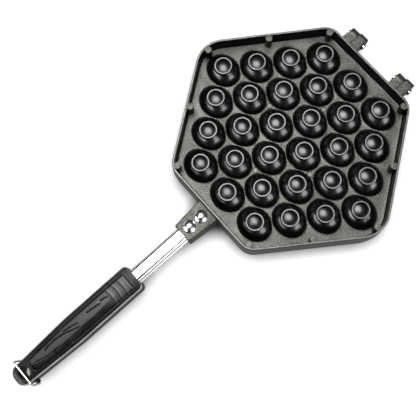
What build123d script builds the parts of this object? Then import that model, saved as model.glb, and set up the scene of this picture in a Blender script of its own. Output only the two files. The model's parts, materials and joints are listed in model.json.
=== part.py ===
from build123d import *
from math import atan2, cos, degrees, radians, sin, sqrt, tan
import os

os.makedirs("parts", exist_ok=True)

# Egg waffle pan, in millimetres: two cast halves that close on egg-shaped cavities, each with a
# chrome handle tube and a plastic grip, hinged at the far end and held shut by a wire loop.
# Both halves are one casting, the lower one turned over about the handle's axis.
#
# Every piece is modelled as it lies in the upper half. There, X runs along the handle towards the
# hinge, Y across it and Z up. Z is 0 on the parting plane, and X is 0 under the egg pattern's middle.

# ---- Egg pattern -------------------------------------------------------------------------------
eggs_in_row = (3, 4, 5, 6, 5, 4, 3)  # from the handle's end to the hinge's end
egg_pitch = 33.0  # egg to egg in a row, across the handle
row_pitch = 23.14  # row to row, along the handle
egg_length = 27.7  # cavity's greatest length, across the handle
egg_width = 23.2  # cavity's greatest width, along the handle, and its thickness
egg_end_radius = 10.3  # cavity's round ends
egg_depth = 12.4  # cavity, from the parting plane
egg_wall = 2.0  # metal round each cavity
ring_diameter = 15.0  # foot ring on each bump
ring_bore = 12.3
ring_drop = 1.0  # top of the rim down to the top of a foot ring
ring_bevel = 0.3

# ---- Plate and rim -----------------------------------------------------------------------------
rim_height = 17.0  # parting plane to the top of the rim
rim_wall = 1.9  # at its top
rim_draft = 3.0  # degrees, outside
pocket_draft = 2.0  # degrees, inside
rim_bevel = 0.5
pocket_round = 1.5  # where the rim's wall meets the plate
plate_thickness = 4.0
end_margin = 20.88  # centres of an end row to the rim's outer top edge
side_margin = 23.0  # centres along a slanted side to the rim's outer top edge
tip_radius = 24.0  # corners on the cross axis
shoulder_radius = 15.0  # the other four corners
seal_width = 6.3  # flat joint face round the cavities
film_depth = 0.9  # recess inside it, half of the sheet between the eggs

# ---- Pads and ejector marks on the back of the plate ---------------------------------------------
pad_diameter = 6.0
pad_inset = 4.0  # centre to the rim's outer edge
side_pad_x = 44.2
mark_diameter = 4.6
mark_depth = 0.3

# ---- Handle lug ----------------------------------------------------------------------------------
lug_length = 28.9  # from the rim's outer top edge
lug_root_width = 24.0
lug_tip_width = 19.0
lug_height = 12.0
lug_draft = 5.0  # degrees
lug_round = 0.8

# ---- Handle tube ---------------------------------------------------------------------------------
tube_width = 12.6
tube_height = 6.6
tube_wall = 1.0
tube_shoulder_radius = 3.4
tube_foot_radius = 1.5
tube_gap = 2.2  # parting plane to the tube
tube_in_lug = 25.0
tube_in_grip = 85.0
tube_free_length = 50.8
tube_clearance = 0.1

# ---- Rivets and burrs ----------------------------------------------------------------------------
rivet_diameter = 4.0
rivet_head_diameter = 11.2
rivet_head_height = 2.7
rivet_head_rim = 0.4
rivet_tail_diameter = 6.4
rivet_tail_height = 1.1
rivet_from_lug_end = 8.2
rivet_pitch = 12.4
burr_diameter = 8.0
burr_thickness = 0.7
shank_clearance = 0.05  # on the radius, round rivets, pins, screws and the loop's ends

# ---- Grips ---------------------------------------------------------------------------------------
grip_length = 124.9
grip_width = 23.4
grip_tail_width = 17.2
grip_straight = 66.0  # from its head to where it narrows
grip_height = 10.8
grip_gap = 0.2  # parting plane to the grip
grip_round = 2.6  # top edge
grip_head_radius = 4.0
grip_waist_radius = 120.0
grip_tail_radius = 7.5
hole_diameter = 9.0  # hanging hole
hole_from_tail = 10.0
panel_from_head = 6.5
panel_length = 101.0
panel_border = 3.6  # grip's side to the panel's side
panel_depth = 0.6
panel_radius = 3.0
rib_count = 3
rib_first = 11.5  # grip's head to the first rib
rib_pitch = 6.0
rib_width = 1.4
rib_arc_radius = 30.0

# ---- Grip screws ---------------------------------------------------------------------------------
screw_diameter = 2.9
screw_length = 6.0
screw_head_diameter = 6.0
screw_head_height = 1.2
screw_from_head = 45.0
screw_seat = 0.6  # grip left between the screw's head and the tube
screw_recess_clearance = 0.3

# ---- Locking loop --------------------------------------------------------------------------------
wire_diameter = 1.7
loop_from_tail = 9.0
loop_width = 24.4  # between the middles of its legs
loop_pivot_height = 8.75  # parting plane down to the pivot
loop_end_length = 4.0  # of each end turned in, from the middle of the leg
loop_top_radius = 2.6
loop_end_radius = 1.5
loop_gap = 0.05  # wire over the upper grip
loop_swing_gap = 0.35  # wire to the upper grip's tail while it swings
ear_diameter = 4.1  # boss on the lower grip round each pivot
ear_clearance = 0.25  # boss to the leg

# ---- Hinges --------------------------------------------------------------------------------------
hinge_reach = 13.2  # rim's outer top edge to the hinge's axis
hinge_spacing = 55.2
hinge_width = 16.6
knuckle_radius = 6.0
knuckle_gap = 0.2
arm_height = 7.2
arm_round = 4.5
hinge_relief = 0.26  # other half's arm to this half's plate as it turns past
pin_diameter = 4.0
pin_head_diameter = 5.6
pin_head_height = 1.8
pin_head_round = 0.6
pin_washer_diameter = 7.0
pin_washer_thickness = 0.6
pin_tail_diameter = 5.2
pin_tail_height = 0.9
pin_tail_round = 0.4

# ---- Places worked out from the sizes ------------------------------------------------------------
middle_row = (len(eggs_in_row) - 1) / 2
egg_centres = [
    ((row - middle_row) * row_pitch, (place - (count - 1) / 2) * egg_pitch)
    for row, count in enumerate(eggs_in_row)
    for place in range(count)
]

# An egg is an oval of arcs, turned about its long axis: round ends joined by flatter, tangent sides.
egg_middle = egg_depth - egg_width / 2
end_centre = egg_length / 2 - egg_end_radius
end_inset = egg_width / 2 - egg_end_radius
side_centre = (end_centre**2 - end_inset**2) / (2 * end_inset)
side_turn = degrees(atan2(end_centre, side_centre))

# The slanted sides run parallel to the line from one egg to its neighbour in the next row.
diagonal = sqrt(row_pitch**2 + (egg_pitch / 2) ** 2)
slant_x = egg_pitch / 2 / diagonal
slant_y = row_pitch / diagonal
end_row_x = middle_row * row_pitch
end_row_y = (eggs_in_row[-1] - 1) / 2 * egg_pitch
rim_end = end_row_x + end_margin
rim_side = slant_x * end_row_x + slant_y * end_row_y + side_margin
rim_flare = rim_height * tan(radians(rim_draft))
rim_middle = rim_end - rim_wall / 2

tube_top = tube_gap + tube_height
lug_end = rim_end + lug_length
grip_head = lug_end + tube_free_length
grip_tail = grip_head + grip_length
inner_rivet = lug_end - rivet_from_lug_end - rivet_pitch
rivet_xs = {"inner": -inner_rivet, "outer": -inner_rivet - rivet_pitch}
screw_x = -grip_head - screw_from_head
hole_x = -grip_tail + hole_from_tail

burr_bottom = tube_gap - burr_thickness
rivet_tail_bottom = burr_bottom - rivet_tail_height
screw_seat_height = tube_gap - tube_clearance - screw_seat

loop_x = -grip_tail + loop_from_tail
loop_top = grip_height + loop_gap + wire_diameter / 2
loop_reach = loop_top + loop_pivot_height
ear_face = loop_width / 2 - wire_diameter / 2 - ear_clearance

hinge_x = rim_end + hinge_reach
hinge_ys = {"left": hinge_spacing / 2, "right": -hinge_spacing / 2}
arm_end = hinge_x + knuckle_radius
arm_sweep = sqrt((knuckle_radius - arm_round) ** 2 + (arm_height - arm_round) ** 2) + arm_round

frame_shift = ((grip_tail - arm_end) / 2, 0, rim_height)


# ---- Outlines ------------------------------------------------------------------------------------
def six_sides(inset):
    """The plate's rounded outline, drawn `inset` inside the rim's outer top edge."""
    end = rim_end - inset
    side = rim_side - inset
    shoulder = (side - slant_x * end) / slant_y
    tip = side / slant_y
    shoulder_round = shoulder_radius - inset
    tip_round = tip_radius - inset
    with BuildSketch() as outline:
        with BuildLine():
            FilletPolyline(
                (end, -shoulder),
                (end, shoulder),
                (0, tip),
                (-end, shoulder),
                (-end, -shoulder),
                (0, -tip),
                radius=[shoulder_round, shoulder_round, tip_round] * 2,
                close=True,
            )
        make_face()
    return outline.sketch


def tube_section(grow):
    """The handle tube's section, flat on top with round shoulders, `grow` larger all round."""
    half = tube_width / 2 + grow
    shoulder = tube_shoulder_radius + grow
    foot = tube_foot_radius + grow
    with BuildSketch() as section:
        with BuildLine():
            FilletPolyline(
                (-half, tube_gap - grow),
                (half, tube_gap - grow),
                (half, tube_top + grow),
                (-half, tube_top + grow),
                radius=[foot, foot, shoulder, shoulder],
                close=True,
            )
        make_face()
    return section.sketch


def grip_outline(inset, start, end, head_radius, tail_radius):
    """The grip's plan from `start` to `end`, both measured from its head, `inset` inside its sides."""
    slope = (grip_width - grip_tail_width) / 2 / (grip_length - grip_straight)
    half = grip_width / 2 - inset
    tail_half = half - slope * (end - grip_straight)
    with BuildSketch() as plan:
        with BuildLine():
            FilletPolyline(
                (-grip_head - start, -half),
                (-grip_head - start, half),
                (-grip_head - grip_straight, half),
                (-grip_head - end, tail_half),
                (-grip_head - end, -tail_half),
                (-grip_head - grip_straight, -half),
                radius=[
                    head_radius,
                    head_radius,
                    grip_waist_radius,
                    tail_radius,
                    tail_radius,
                    grip_waist_radius,
                ],
                close=True,
            )
        make_face()
    return plan.sketch


def pad_centres():
    """Pad places along the rim: at each corner and once on each slanted side."""
    tip_y = rim_side / slant_y - tip_radius * (1 / slant_y - 1) - pad_inset
    side_y = (rim_side - pad_inset - slant_x * side_pad_x) / slant_y
    corner_y = (rim_side - slant_x * rim_end) / slant_y
    half_turn = sqrt((1 + slant_x) / 2)  # cosine of half the angle between an end and a slanted side
    back = shoulder_radius * (1 / half_turn - 1) + pad_inset
    shoulder_x = rim_end - back * half_turn
    shoulder_y = corner_y - back * sqrt(1 - half_turn**2)
    quarter = [(side_pad_x, side_y), (shoulder_x, shoulder_y)]
    pads = [(0, tip_y), (0, -tip_y)]
    for x, y in quarter:
        pads += [(x, y), (-x, y), (x, -y), (-x, -y)]
    return pads


def egg_half(grow):
    """Half of an egg's oval, grown by `grow`, with its straight side on the long axis."""
    end_radius = egg_end_radius + grow
    side_radius = egg_width / 2 + side_centre + grow
    with BuildSketch() as half:
        with BuildLine():
            CenterArc((0, -end_centre), end_radius, -90, 90 - side_turn)
            CenterArc((-side_centre, 0), side_radius, -side_turn, 2 * side_turn)
            CenterArc((0, end_centre), end_radius, side_turn, 90 - side_turn)
            Line((0, end_centre + end_radius), (0, -end_centre - end_radius))
        make_face()
    return half.sketch


# ---- One cast half -------------------------------------------------------------------------------
egg_plane = Plane.XY.offset(egg_middle)
egg_axis = Axis((0, 0, egg_middle), (0, 1, 0))

with BuildPart() as egg_back:  # bump on the plate's back, solid, with its foot ring
    with BuildSketch(egg_plane):
        add(egg_half(egg_wall))
    revolve(axis=egg_axis)
    split(bisect_by=Plane.XY.offset(plate_thickness - film_depth))
    with BuildSketch(Plane.XY.offset(plate_thickness)):
        Circle(ring_diameter / 2)
        Circle(ring_bore / 2, mode=Mode.SUBTRACT)
    extrude(amount=rim_height - ring_drop - plate_thickness)
    chamfer(egg_back.faces().sort_by(Axis.Z)[-1].edges(), ring_bevel)

with BuildPart() as egg_cavity:
    with BuildSketch(egg_plane):
        add(egg_half(0))
    revolve(axis=egg_axis)

with BuildPart() as handle_lug:
    for x, width in ((-rim_middle, lug_root_width), (-lug_end, lug_tip_width)):
        with BuildSketch(Plane.YZ.offset(x)):
            Trapezoid(width, lug_height, 90 - lug_draft, align=(Align.CENTER, Align.MIN))
    loft(ruled=True)
    end_face = handle_lug.faces().sort_by(Axis.X)[0]
    fillet(end_face.edges().sort_by(Axis.Z)[1:], lug_round)

with BuildPart() as hinge_lugs:
    for hinge_y in hinge_ys.values():
        low_y = hinge_y - hinge_width / 2
        with BuildSketch(Plane.XZ.offset(-hinge_y + knuckle_gap / 2)):
            with BuildLine():
                FilletPolyline(
                    (rim_middle, 0),
                    (arm_end, 0),
                    (arm_end, arm_height),
                    (rim_middle, arm_height),
                    radius=[0, 0, arm_round, 0],
                    close=True,
                )
            make_face()
            with Locations((hinge_x, 0)):
                Circle(knuckle_radius)
        extrude(amount=(hinge_width - knuckle_gap) / 2)
        with BuildSketch(Plane.XZ.offset(-hinge_y - hinge_width / 2)):
            with BuildLine():
                Polyline(
                    (rim_middle, 0),
                    (hinge_x, 0),
                    (hinge_x, arm_height),
                    (rim_middle, arm_height),
                    close=True,
                )
            make_face()
            with Locations((hinge_x, 0)):
                Circle(arm_sweep + hinge_relief, mode=Mode.SUBTRACT)
        extrude(amount=(hinge_width + knuckle_gap) / 2)
        with BuildSketch(Plane.XZ.offset(-hinge_y)):
            with Locations((hinge_x, 0)):
                Circle(pin_diameter / 2 + shank_clearance)
        extrude(amount=hinge_width / 2, mode=Mode.SUBTRACT)

with BuildPart() as pan_half:
    with BuildSketch():
        add(six_sides(-rim_flare))
    extrude(amount=rim_height, taper=rim_draft)
    chamfer(pan_half.faces().sort_by(Axis.Z)[-1].edges(), rim_bevel)
    with BuildSketch(Plane.XY.offset(rim_height)):
        add(six_sides(rim_wall))
    extrude(amount=plate_thickness - rim_height, taper=pocket_draft, mode=Mode.SUBTRACT)
    floor = pan_half.faces().filter_by(Plane.XY).sort_by(Axis.Z)[1]
    fillet(floor.edges(), pocket_round)
    # Ejector marks lie in the gaps between three eggs.
    with BuildSketch(Plane.XY.offset(plate_thickness)):
        with Locations((row_pitch / 3, egg_pitch), (-row_pitch / 3, -egg_pitch)):
            Circle(mark_diameter / 2)
        with Locations((row_pitch * 5 / 3, 0), (-row_pitch * 5 / 3, 0)):
            Circle(mark_diameter / 2)
    extrude(amount=-mark_depth, mode=Mode.SUBTRACT)
    with Locations(*egg_centres):
        add(egg_back.part)
    with BuildSketch(Plane.XY.offset(plate_thickness - film_depth)):
        with Locations(*pad_centres()):
            Circle(pad_diameter / 2)
    extrude(amount=rim_height - plate_thickness + film_depth)
    add(handle_lug.part)
    add(hinge_lugs.part)
    with BuildSketch():
        add(six_sides(seal_width))
    extrude(amount=film_depth, mode=Mode.SUBTRACT)
    with Locations(*egg_centres):
        add(egg_cavity.part, mode=Mode.SUBTRACT)
    # Channel for the tube, open at the parting plane.
    with BuildSketch(Plane.YZ.offset(-lug_end)):
        add(tube_section(tube_clearance))
        with Locations((0, tube_gap / 2)):
            Rectangle(tube_width + 2 * tube_clearance, tube_gap + 2 * tube_foot_radius)
    extrude(amount=tube_in_lug + tube_clearance, mode=Mode.SUBTRACT)
    with Locations(*[(x, 0, lug_height) for x in rivet_xs.values()]):
        Hole(rivet_diameter / 2 + shank_clearance, depth=lug_height - tube_gap)


# ---- Handle tube, rivets and burrs -----------------------------------------------------------------
with BuildPart() as handle_tube:
    with BuildSketch(Plane.YZ.offset(-lug_end + tube_in_lug)):
        add(tube_section(0))
        add(tube_section(-tube_wall), mode=Mode.SUBTRACT)
    extrude(amount=-(tube_in_lug + tube_free_length + tube_in_grip))
    with Locations(*[(x, 0, tube_top) for x in rivet_xs.values()]):
        Hole(rivet_diameter / 2 + shank_clearance, depth=tube_height)
    with Locations((screw_x, 0, tube_gap + tube_wall)):
        Hole(screw_diameter / 2 + shank_clearance, depth=tube_wall)

with BuildPart() as rivet:
    with BuildSketch(Plane.XZ):
        with BuildLine():
            head = rivet_head_diameter / 2
            head_foot = lug_height + rivet_head_rim
            head_top = lug_height + rivet_head_height
            tail = rivet_tail_diameter / 2
            TangentArc((0, head_top), (head, head_foot), tangent=(1, 0))
            Polyline(
                (head, head_foot),
                (head, lug_height),
                (rivet_diameter / 2, lug_height),
                (rivet_diameter / 2, burr_bottom),
                (tail, burr_bottom),
            )
            TangentArc((0, rivet_tail_bottom), (tail, burr_bottom), tangent=(1, 0))
            Line((0, rivet_tail_bottom), (0, head_top))
        make_face()
    revolve(axis=Axis.Z)

with BuildPart() as burr:
    with BuildSketch(Plane.XY.offset(burr_bottom)):
        Circle(burr_diameter / 2)
        Circle(rivet_diameter / 2 + shank_clearance, mode=Mode.SUBTRACT)
    extrude(amount=burr_thickness)


# ---- Grips and their screws ------------------------------------------------------------------------
with BuildPart() as grip:
    with BuildSketch(Plane.XY.offset(grip_gap)):
        add(grip_outline(0, 0, grip_length, grip_head_radius, grip_tail_radius))
    extrude(amount=grip_height - grip_gap)
    fillet(grip.faces().sort_by(Axis.Z)[-1].edges(), grip_round)
    # Sunk panel with curved ribs across its head end.
    with BuildSketch(Plane.XY.offset(grip_height)) as panel:
        add(
            grip_outline(
                panel_border,
                panel_from_head,
                panel_from_head + panel_length,
                panel_radius,
                panel_radius,
            )
        )
    extrude(amount=-panel_depth, mode=Mode.SUBTRACT)
    for number in range(rib_count):
        rib_x = -grip_head - rib_first - number * rib_pitch
        with BuildSketch(Plane.XY.offset(grip_height - panel_depth)):
            with Locations((rib_x - rib_arc_radius, 0)):
                Circle(rib_arc_radius)
                Circle(rib_arc_radius - rib_width, mode=Mode.SUBTRACT)
            with Locations((rib_x, 0)):
                Rectangle(rib_pitch, grip_width - 2 * panel_border, mode=Mode.INTERSECT)
        extrude(amount=panel_depth / 2)
    with BuildSketch(Plane.YZ.offset(-grip_head)):
        add(tube_section(tube_clearance))
    extrude(amount=-(tube_in_grip + tube_clearance), mode=Mode.SUBTRACT)
    with BuildSketch():
        with Locations((hole_x, 0)):
            Circle(hole_diameter / 2)
    extrude(amount=grip_height, mode=Mode.SUBTRACT)
    with BuildSketch():
        with Locations((screw_x, 0)):
            Circle(screw_head_diameter / 2 + screw_recess_clearance)
    extrude(amount=screw_seat_height, mode=Mode.SUBTRACT)
    with BuildSketch():
        with Locations((screw_x, 0)):
            Circle(screw_diameter / 2 + shank_clearance)
    extrude(amount=tube_gap, mode=Mode.SUBTRACT)

with BuildPart() as upper_grip:
    add(grip.part)
    # The tail falls away inside the circle that the loop's crossbar swings on.
    swing_radius = loop_reach - wire_diameter / 2 - loop_swing_gap
    with BuildSketch(Plane.XZ.offset(-grip_width)):
        with Locations((loop_x - wire_diameter / 2 - grip_length / 2, grip_height)):
            Rectangle(grip_length, 2 * grip_height)
        with Locations((loop_x, -loop_pivot_height)):
            Circle(swing_radius, mode=Mode.SUBTRACT)
    extrude(amount=2 * grip_width, mode=Mode.SUBTRACT)

with BuildPart() as lower_grip:
    add(grip.part)
    for side in (1, -1):
        with BuildSketch(Plane.XZ.offset(side * ear_face)):
            with Locations((loop_x, loop_pivot_height)):
                Circle(ear_diameter / 2)
        extrude(amount=-side * loop_end_length)
        with BuildSketch(Plane.XZ.offset(side * ear_face)):
            with Locations((loop_x, loop_pivot_height)):
                Circle(wire_diameter / 2 + shank_clearance)
        extrude(amount=-side * loop_end_length, mode=Mode.SUBTRACT)

with BuildPart() as grip_screw:
    with BuildSketch(Plane.XY.offset(screw_seat_height - screw_head_height)):
        Circle(screw_head_diameter / 2)
    extrude(amount=screw_head_height)
    with BuildSketch(Plane.XY.offset(screw_seat_height)):
        Circle(screw_diameter / 2)
    extrude(amount=screw_length)


# ---- Locking loop, drawn with its pivot below the parting plane ------------------------------------
with BuildPart() as locking_loop:
    leg = loop_width / 2
    with BuildLine(Plane.YZ.offset(loop_x)) as wire_path:
        FilletPolyline(
            (leg - loop_end_length, -loop_pivot_height),
            (leg, -loop_pivot_height),
            (leg, loop_top),
            (-leg, loop_top),
            (-leg, -loop_pivot_height),
            (loop_end_length - leg, -loop_pivot_height),
            radius=[loop_end_radius, loop_top_radius, loop_top_radius, loop_end_radius],
        )
    with BuildSketch(wire_path.line ^ 0):
        Circle(wire_diameter / 2)
    sweep()


# ---- Hinge pin and its washer, for a hinge centred on Y = 0 ------------------------------------------
with BuildPart() as hinge_pin:
    pin_start = hinge_width / 2
    pin_washer_face = hinge_width / 2 + pin_washer_thickness
    with BuildSketch(Plane.XZ.offset(pin_start)):
        with Locations((hinge_x, 0)):
            Circle(pin_head_diameter / 2)
    extrude(amount=pin_head_height)
    fillet(hinge_pin.faces().sort_by(Axis.Y)[0].edges(), pin_head_round)
    with BuildSketch(Plane.XZ.offset(pin_start)):
        with Locations((hinge_x, 0)):
            Circle(pin_diameter / 2)
    extrude(amount=-(pin_start + pin_washer_face))
    with BuildSketch(Plane.XZ.offset(-pin_washer_face)):
        with Locations((hinge_x, 0)):
            Circle(pin_tail_diameter / 2)
    extrude(amount=-pin_tail_height)
    fillet(hinge_pin.faces().sort_by(Axis.Y)[-1].edges(), pin_tail_round)

with BuildPart() as pin_washer:
    with BuildSketch(Plane.XZ.offset(-pin_washer_face)):
        with Locations((hinge_x, 0)):
            Circle(pin_washer_diameter / 2)
            Circle(pin_diameter / 2 + shank_clearance, mode=Mode.SUBTRACT)
    extrude(amount=pin_washer_thickness)


# ---- Every piece, put in its place and written ------------------------------------------------------
def write(name, piece, at=(0, 0, 0), turn=(0, 0, 0)):
    """Move a piece by `at`, turn it over by `turn`, stand it in the frame and write it."""
    with BuildPart(mode=Mode.PRIVATE) as placed:
        with Locations(at):
            add(piece)
    with BuildPart(mode=Mode.PRIVATE) as standing:
        with Locations(frame_shift):
            add(placed.part, rotation=turn)
    standing.part.label = name
    export_step(standing.part, f"parts/{name}.step")


for half, turn, half_grip in (
    ("upper", (0, 0, 0), upper_grip),
    ("lower", (180, 0, 0), lower_grip),
):
    write(f"{half}_pan", pan_half.part, turn=turn)
    write(f"{half}_handle_tube", handle_tube.part, turn=turn)
    write(f"{half}_grip", half_grip.part, turn=turn)
    write(f"{half}_grip_screw", grip_screw.part, at=(screw_x, 0, 0), turn=turn)
    for place, x in rivet_xs.items():
        write(f"{half}_rivet_{place}", rivet.part, at=(x, 0, 0), turn=turn)
        write(f"{half}_burr_{place}", burr.part, at=(x, 0, 0), turn=turn)

write("locking_loop", locking_loop.part)
for side, y in hinge_ys.items():
    write(f"{side}_hinge_pin", hinge_pin.part, at=(0, y, 0))
    write(f"{side}_pin_washer", pin_washer.part, at=(0, y, 0))
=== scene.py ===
"""Egg waffle pan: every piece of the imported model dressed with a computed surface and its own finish.

The two cast halves, handle tubes, grips, rivets, pins, screws and the locking loop are surfaces worked
out with numpy from the sizes below. Half coordinates are used for both halves: X along the handle
towards the hinge, Y across it, Z up from the parting plane, with X = 0 under the egg pattern's middle.
The lower half is the same surface turned over about the handle's axis.
"""

import json
from math import atan2, hypot, pi, radians, sqrt, tan
from types import SimpleNamespace

import bmesh
import bpy
import numpy as np
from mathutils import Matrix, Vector


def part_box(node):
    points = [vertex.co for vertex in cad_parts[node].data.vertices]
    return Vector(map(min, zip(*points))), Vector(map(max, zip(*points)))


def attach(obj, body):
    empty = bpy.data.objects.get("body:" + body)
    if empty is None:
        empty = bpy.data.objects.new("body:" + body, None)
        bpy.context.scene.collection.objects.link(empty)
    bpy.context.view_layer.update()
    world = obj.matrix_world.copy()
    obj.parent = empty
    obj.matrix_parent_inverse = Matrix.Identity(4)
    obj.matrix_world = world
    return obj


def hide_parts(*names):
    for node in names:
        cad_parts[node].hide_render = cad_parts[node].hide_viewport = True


bl_info = {
    "name": "Egg Waffle Pan",
    "version": (1, 0, 0),
    "blender": (4, 5, 0),
    "location": "View3D > Sidebar > Waffle Pan",
    "description": "Cast halves, handles, hinges and locking loop of an egg waffle pan, and its stage",
    "category": "Add Mesh",
}

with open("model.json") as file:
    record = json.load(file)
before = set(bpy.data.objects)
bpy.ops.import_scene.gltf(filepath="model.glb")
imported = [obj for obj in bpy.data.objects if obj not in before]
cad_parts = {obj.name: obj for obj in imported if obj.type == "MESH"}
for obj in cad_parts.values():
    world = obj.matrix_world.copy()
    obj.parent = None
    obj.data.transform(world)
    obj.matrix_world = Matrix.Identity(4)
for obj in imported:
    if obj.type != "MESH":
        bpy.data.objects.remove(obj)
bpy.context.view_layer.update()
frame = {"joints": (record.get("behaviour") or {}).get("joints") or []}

MM = 0.001
WELD = 1e-6  # points nearer than this become one
SHARP_EDGE = radians(32)  # faces that meet at more than this are shaded apart
LIFT = 0.02 * MM  # lugs' undersides above the joint face, clear of the rim's own
SOFT = 0.25 * MM  # softening of the casting's small bends
FIT = 0.05 * MM  # room round a shank, on the radius
RIM_DRAFT, POCKET_DRAFT, LUG_DRAFT = radians(3), radians(2), radians(5)
PIN_BODY = "lower_half"
EGGS_IN_ROW = (3, 4, 5, 6, 5, 4, 3)  # from the handle's end to the hinge's end
HALVES = ("upper", "lower")
RIVETS = ("inner", "outer")
HINGE_SIDES = ("left", "right")

pan_hinge = next(joint for joint in frame["joints"] if joint["name"] == "pan_hinge")
loop_swing = next(joint for joint in frame["joints"] if joint["name"] == "loop_swing")
pan_low, pan_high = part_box("upper_pan")
grip_low, grip_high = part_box("upper_grip")
tube_low, tube_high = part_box("upper_handle_tube")
rivet_boxes = {name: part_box(f"upper_rivet_{name}") for name in RIVETS}
burr_low, burr_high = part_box("upper_burr_inner")
screw_low, screw_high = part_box("upper_grip_screw")
pin_boxes = {side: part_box(f"{side}_hinge_pin") for side in HINGE_SIDES}
loop_low, loop_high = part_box("locking_loop")
parting = pan_hinge["pos_m"][2]
hinge_x = pan_hinge["pos_m"][0]


# ---- Sizes and finishes that a user would change --------------------------------------------------
def length(name, description, millimetres):
    """A length property, given in millimetres and kept in metres."""
    return bpy.props.FloatProperty(
        name=name, description=description, default=millimetres * MM, unit="LENGTH", precision=5
    )


def colour(name, description, value):
    """A linear colour property."""
    return bpy.props.FloatVectorProperty(
        name=name, description=description, default=value, size=3, subtype="COLOR", min=0, max=1
    )


def share(name, description, value):
    """A number from 0 to 1, such as a roughness."""
    return bpy.props.FloatProperty(
        name=name, description=description, default=value, min=0, max=1, subtype="FACTOR"
    )


def power(name, description, watts):
    """A lamp's power."""
    return bpy.props.FloatProperty(name=name, description=description, default=watts, unit="POWER")


class PanSizes(bpy.types.PropertyGroup):
    """Sizes of one cast half."""

    egg_pitch: length("Egg pitch", "Egg to egg in a row, across the handle", 33.0)
    row_pitch: length("Row pitch", "Row to row, along the handle", 23.14)
    egg_length: length("Egg length", "Cavity's greatest length, across the handle", 27.7)
    egg_width: length("Egg width", "Cavity's greatest width, along the handle", 23.2)
    egg_end: length("Egg ends", "Cavity's round ends", 10.3)
    egg_depth: length("Egg depth", "Cavity, from the parting plane", 12.4)
    egg_wall: length("Egg wall", "Metal round each cavity", 2.0)
    ring_diameter: length("Foot ring", "Outside of the foot ring on each bump", 15.0)
    ring_bore: length("Foot ring bore", "Inside of the foot ring", 12.3)
    ring_drop: length("Ring drop", "Top of the rim down to the foot rings", 1.0)
    ring_round: length("Ring round", "Edges of the foot rings", 0.3)
    foot_bend: length("Bump foot", "Hollow where a bump meets the plate", 0.9)
    plate: length("Plate", "Thickness of the plate between the bumps", 4.0)
    film: length("Film recess", "Recess of the joint face round the cavities", 0.9)
    seal: length("Seal width", "Flat joint face along the rim", 6.3)
    rim_wall: length("Rim wall", "Rim's thickness at its top", 1.9)
    rim_bevel: length("Rim bevel", "Bevel of the rim's outer top edge", 0.5)
    pocket_round: length("Pocket round", "Where the rim's wall meets the plate", 1.5)
    end_margin: length("End margin", "End row's centres to the rim's outer top edge", 20.88)
    side_margin: length("Side margin", "Slanted side's centres to the rim's outer top edge", 23.0)
    tip_radius: length("Tip radius", "Rim's corners on the cross axis", 24.0)
    shoulder_radius: length("Shoulder radius", "Rim's other four corners", 15.0)
    pad_diameter: length("Pad", "Pads along the rim", 6.0)
    pad_inset: length("Pad inset", "Pad's centre to the rim's outer edge", 4.0)
    side_pad_x: length("Side pad place", "Middle to the pad on each slanted side", 44.2)
    mark_diameter: length("Ejector mark", "Round marks in the gaps between eggs", 4.6)


class LugSizes(bpy.types.PropertyGroup):
    """Sizes of the handle lug and the hinge lugs."""

    root_width: length("Lug root width", "Handle lug at the rim", 24.0)
    tip_width: length("Lug tip width", "Handle lug at its end", 19.0)
    height: length("Lug height", "Handle lug above the parting plane", 12.0)
    edge_round: length("Lug edges", "Rounding of the lug's edges", 0.8)
    tube_in_lug: length("Tube in lug", "Depth of the tube's channel", 25.0)
    reach: length("Hinge reach", "Rim's outer top edge to the hinge's axis", 13.2)
    spacing: length("Hinge spacing", "Hinge to hinge, across the handle", 55.2)
    width: length("Hinge width", "Both knuckles together", 16.6)
    knuckle_radius: length("Knuckle radius", "Knuckle round its pin", 6.0)
    knuckle_gap: length("Knuckle gap", "Between the two knuckles", 0.2)
    arm_height: length("Arm height", "Hinge arm above the parting plane", 7.2)
    arm_round: length("Arm round", "Arm's far top corner", 4.5)
    relief: length("Relief", "Room for the other half's arm", 0.26)
    hinge_round: length("Hinge edges", "Rounding of the hinge lugs' edges", 0.4)


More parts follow.
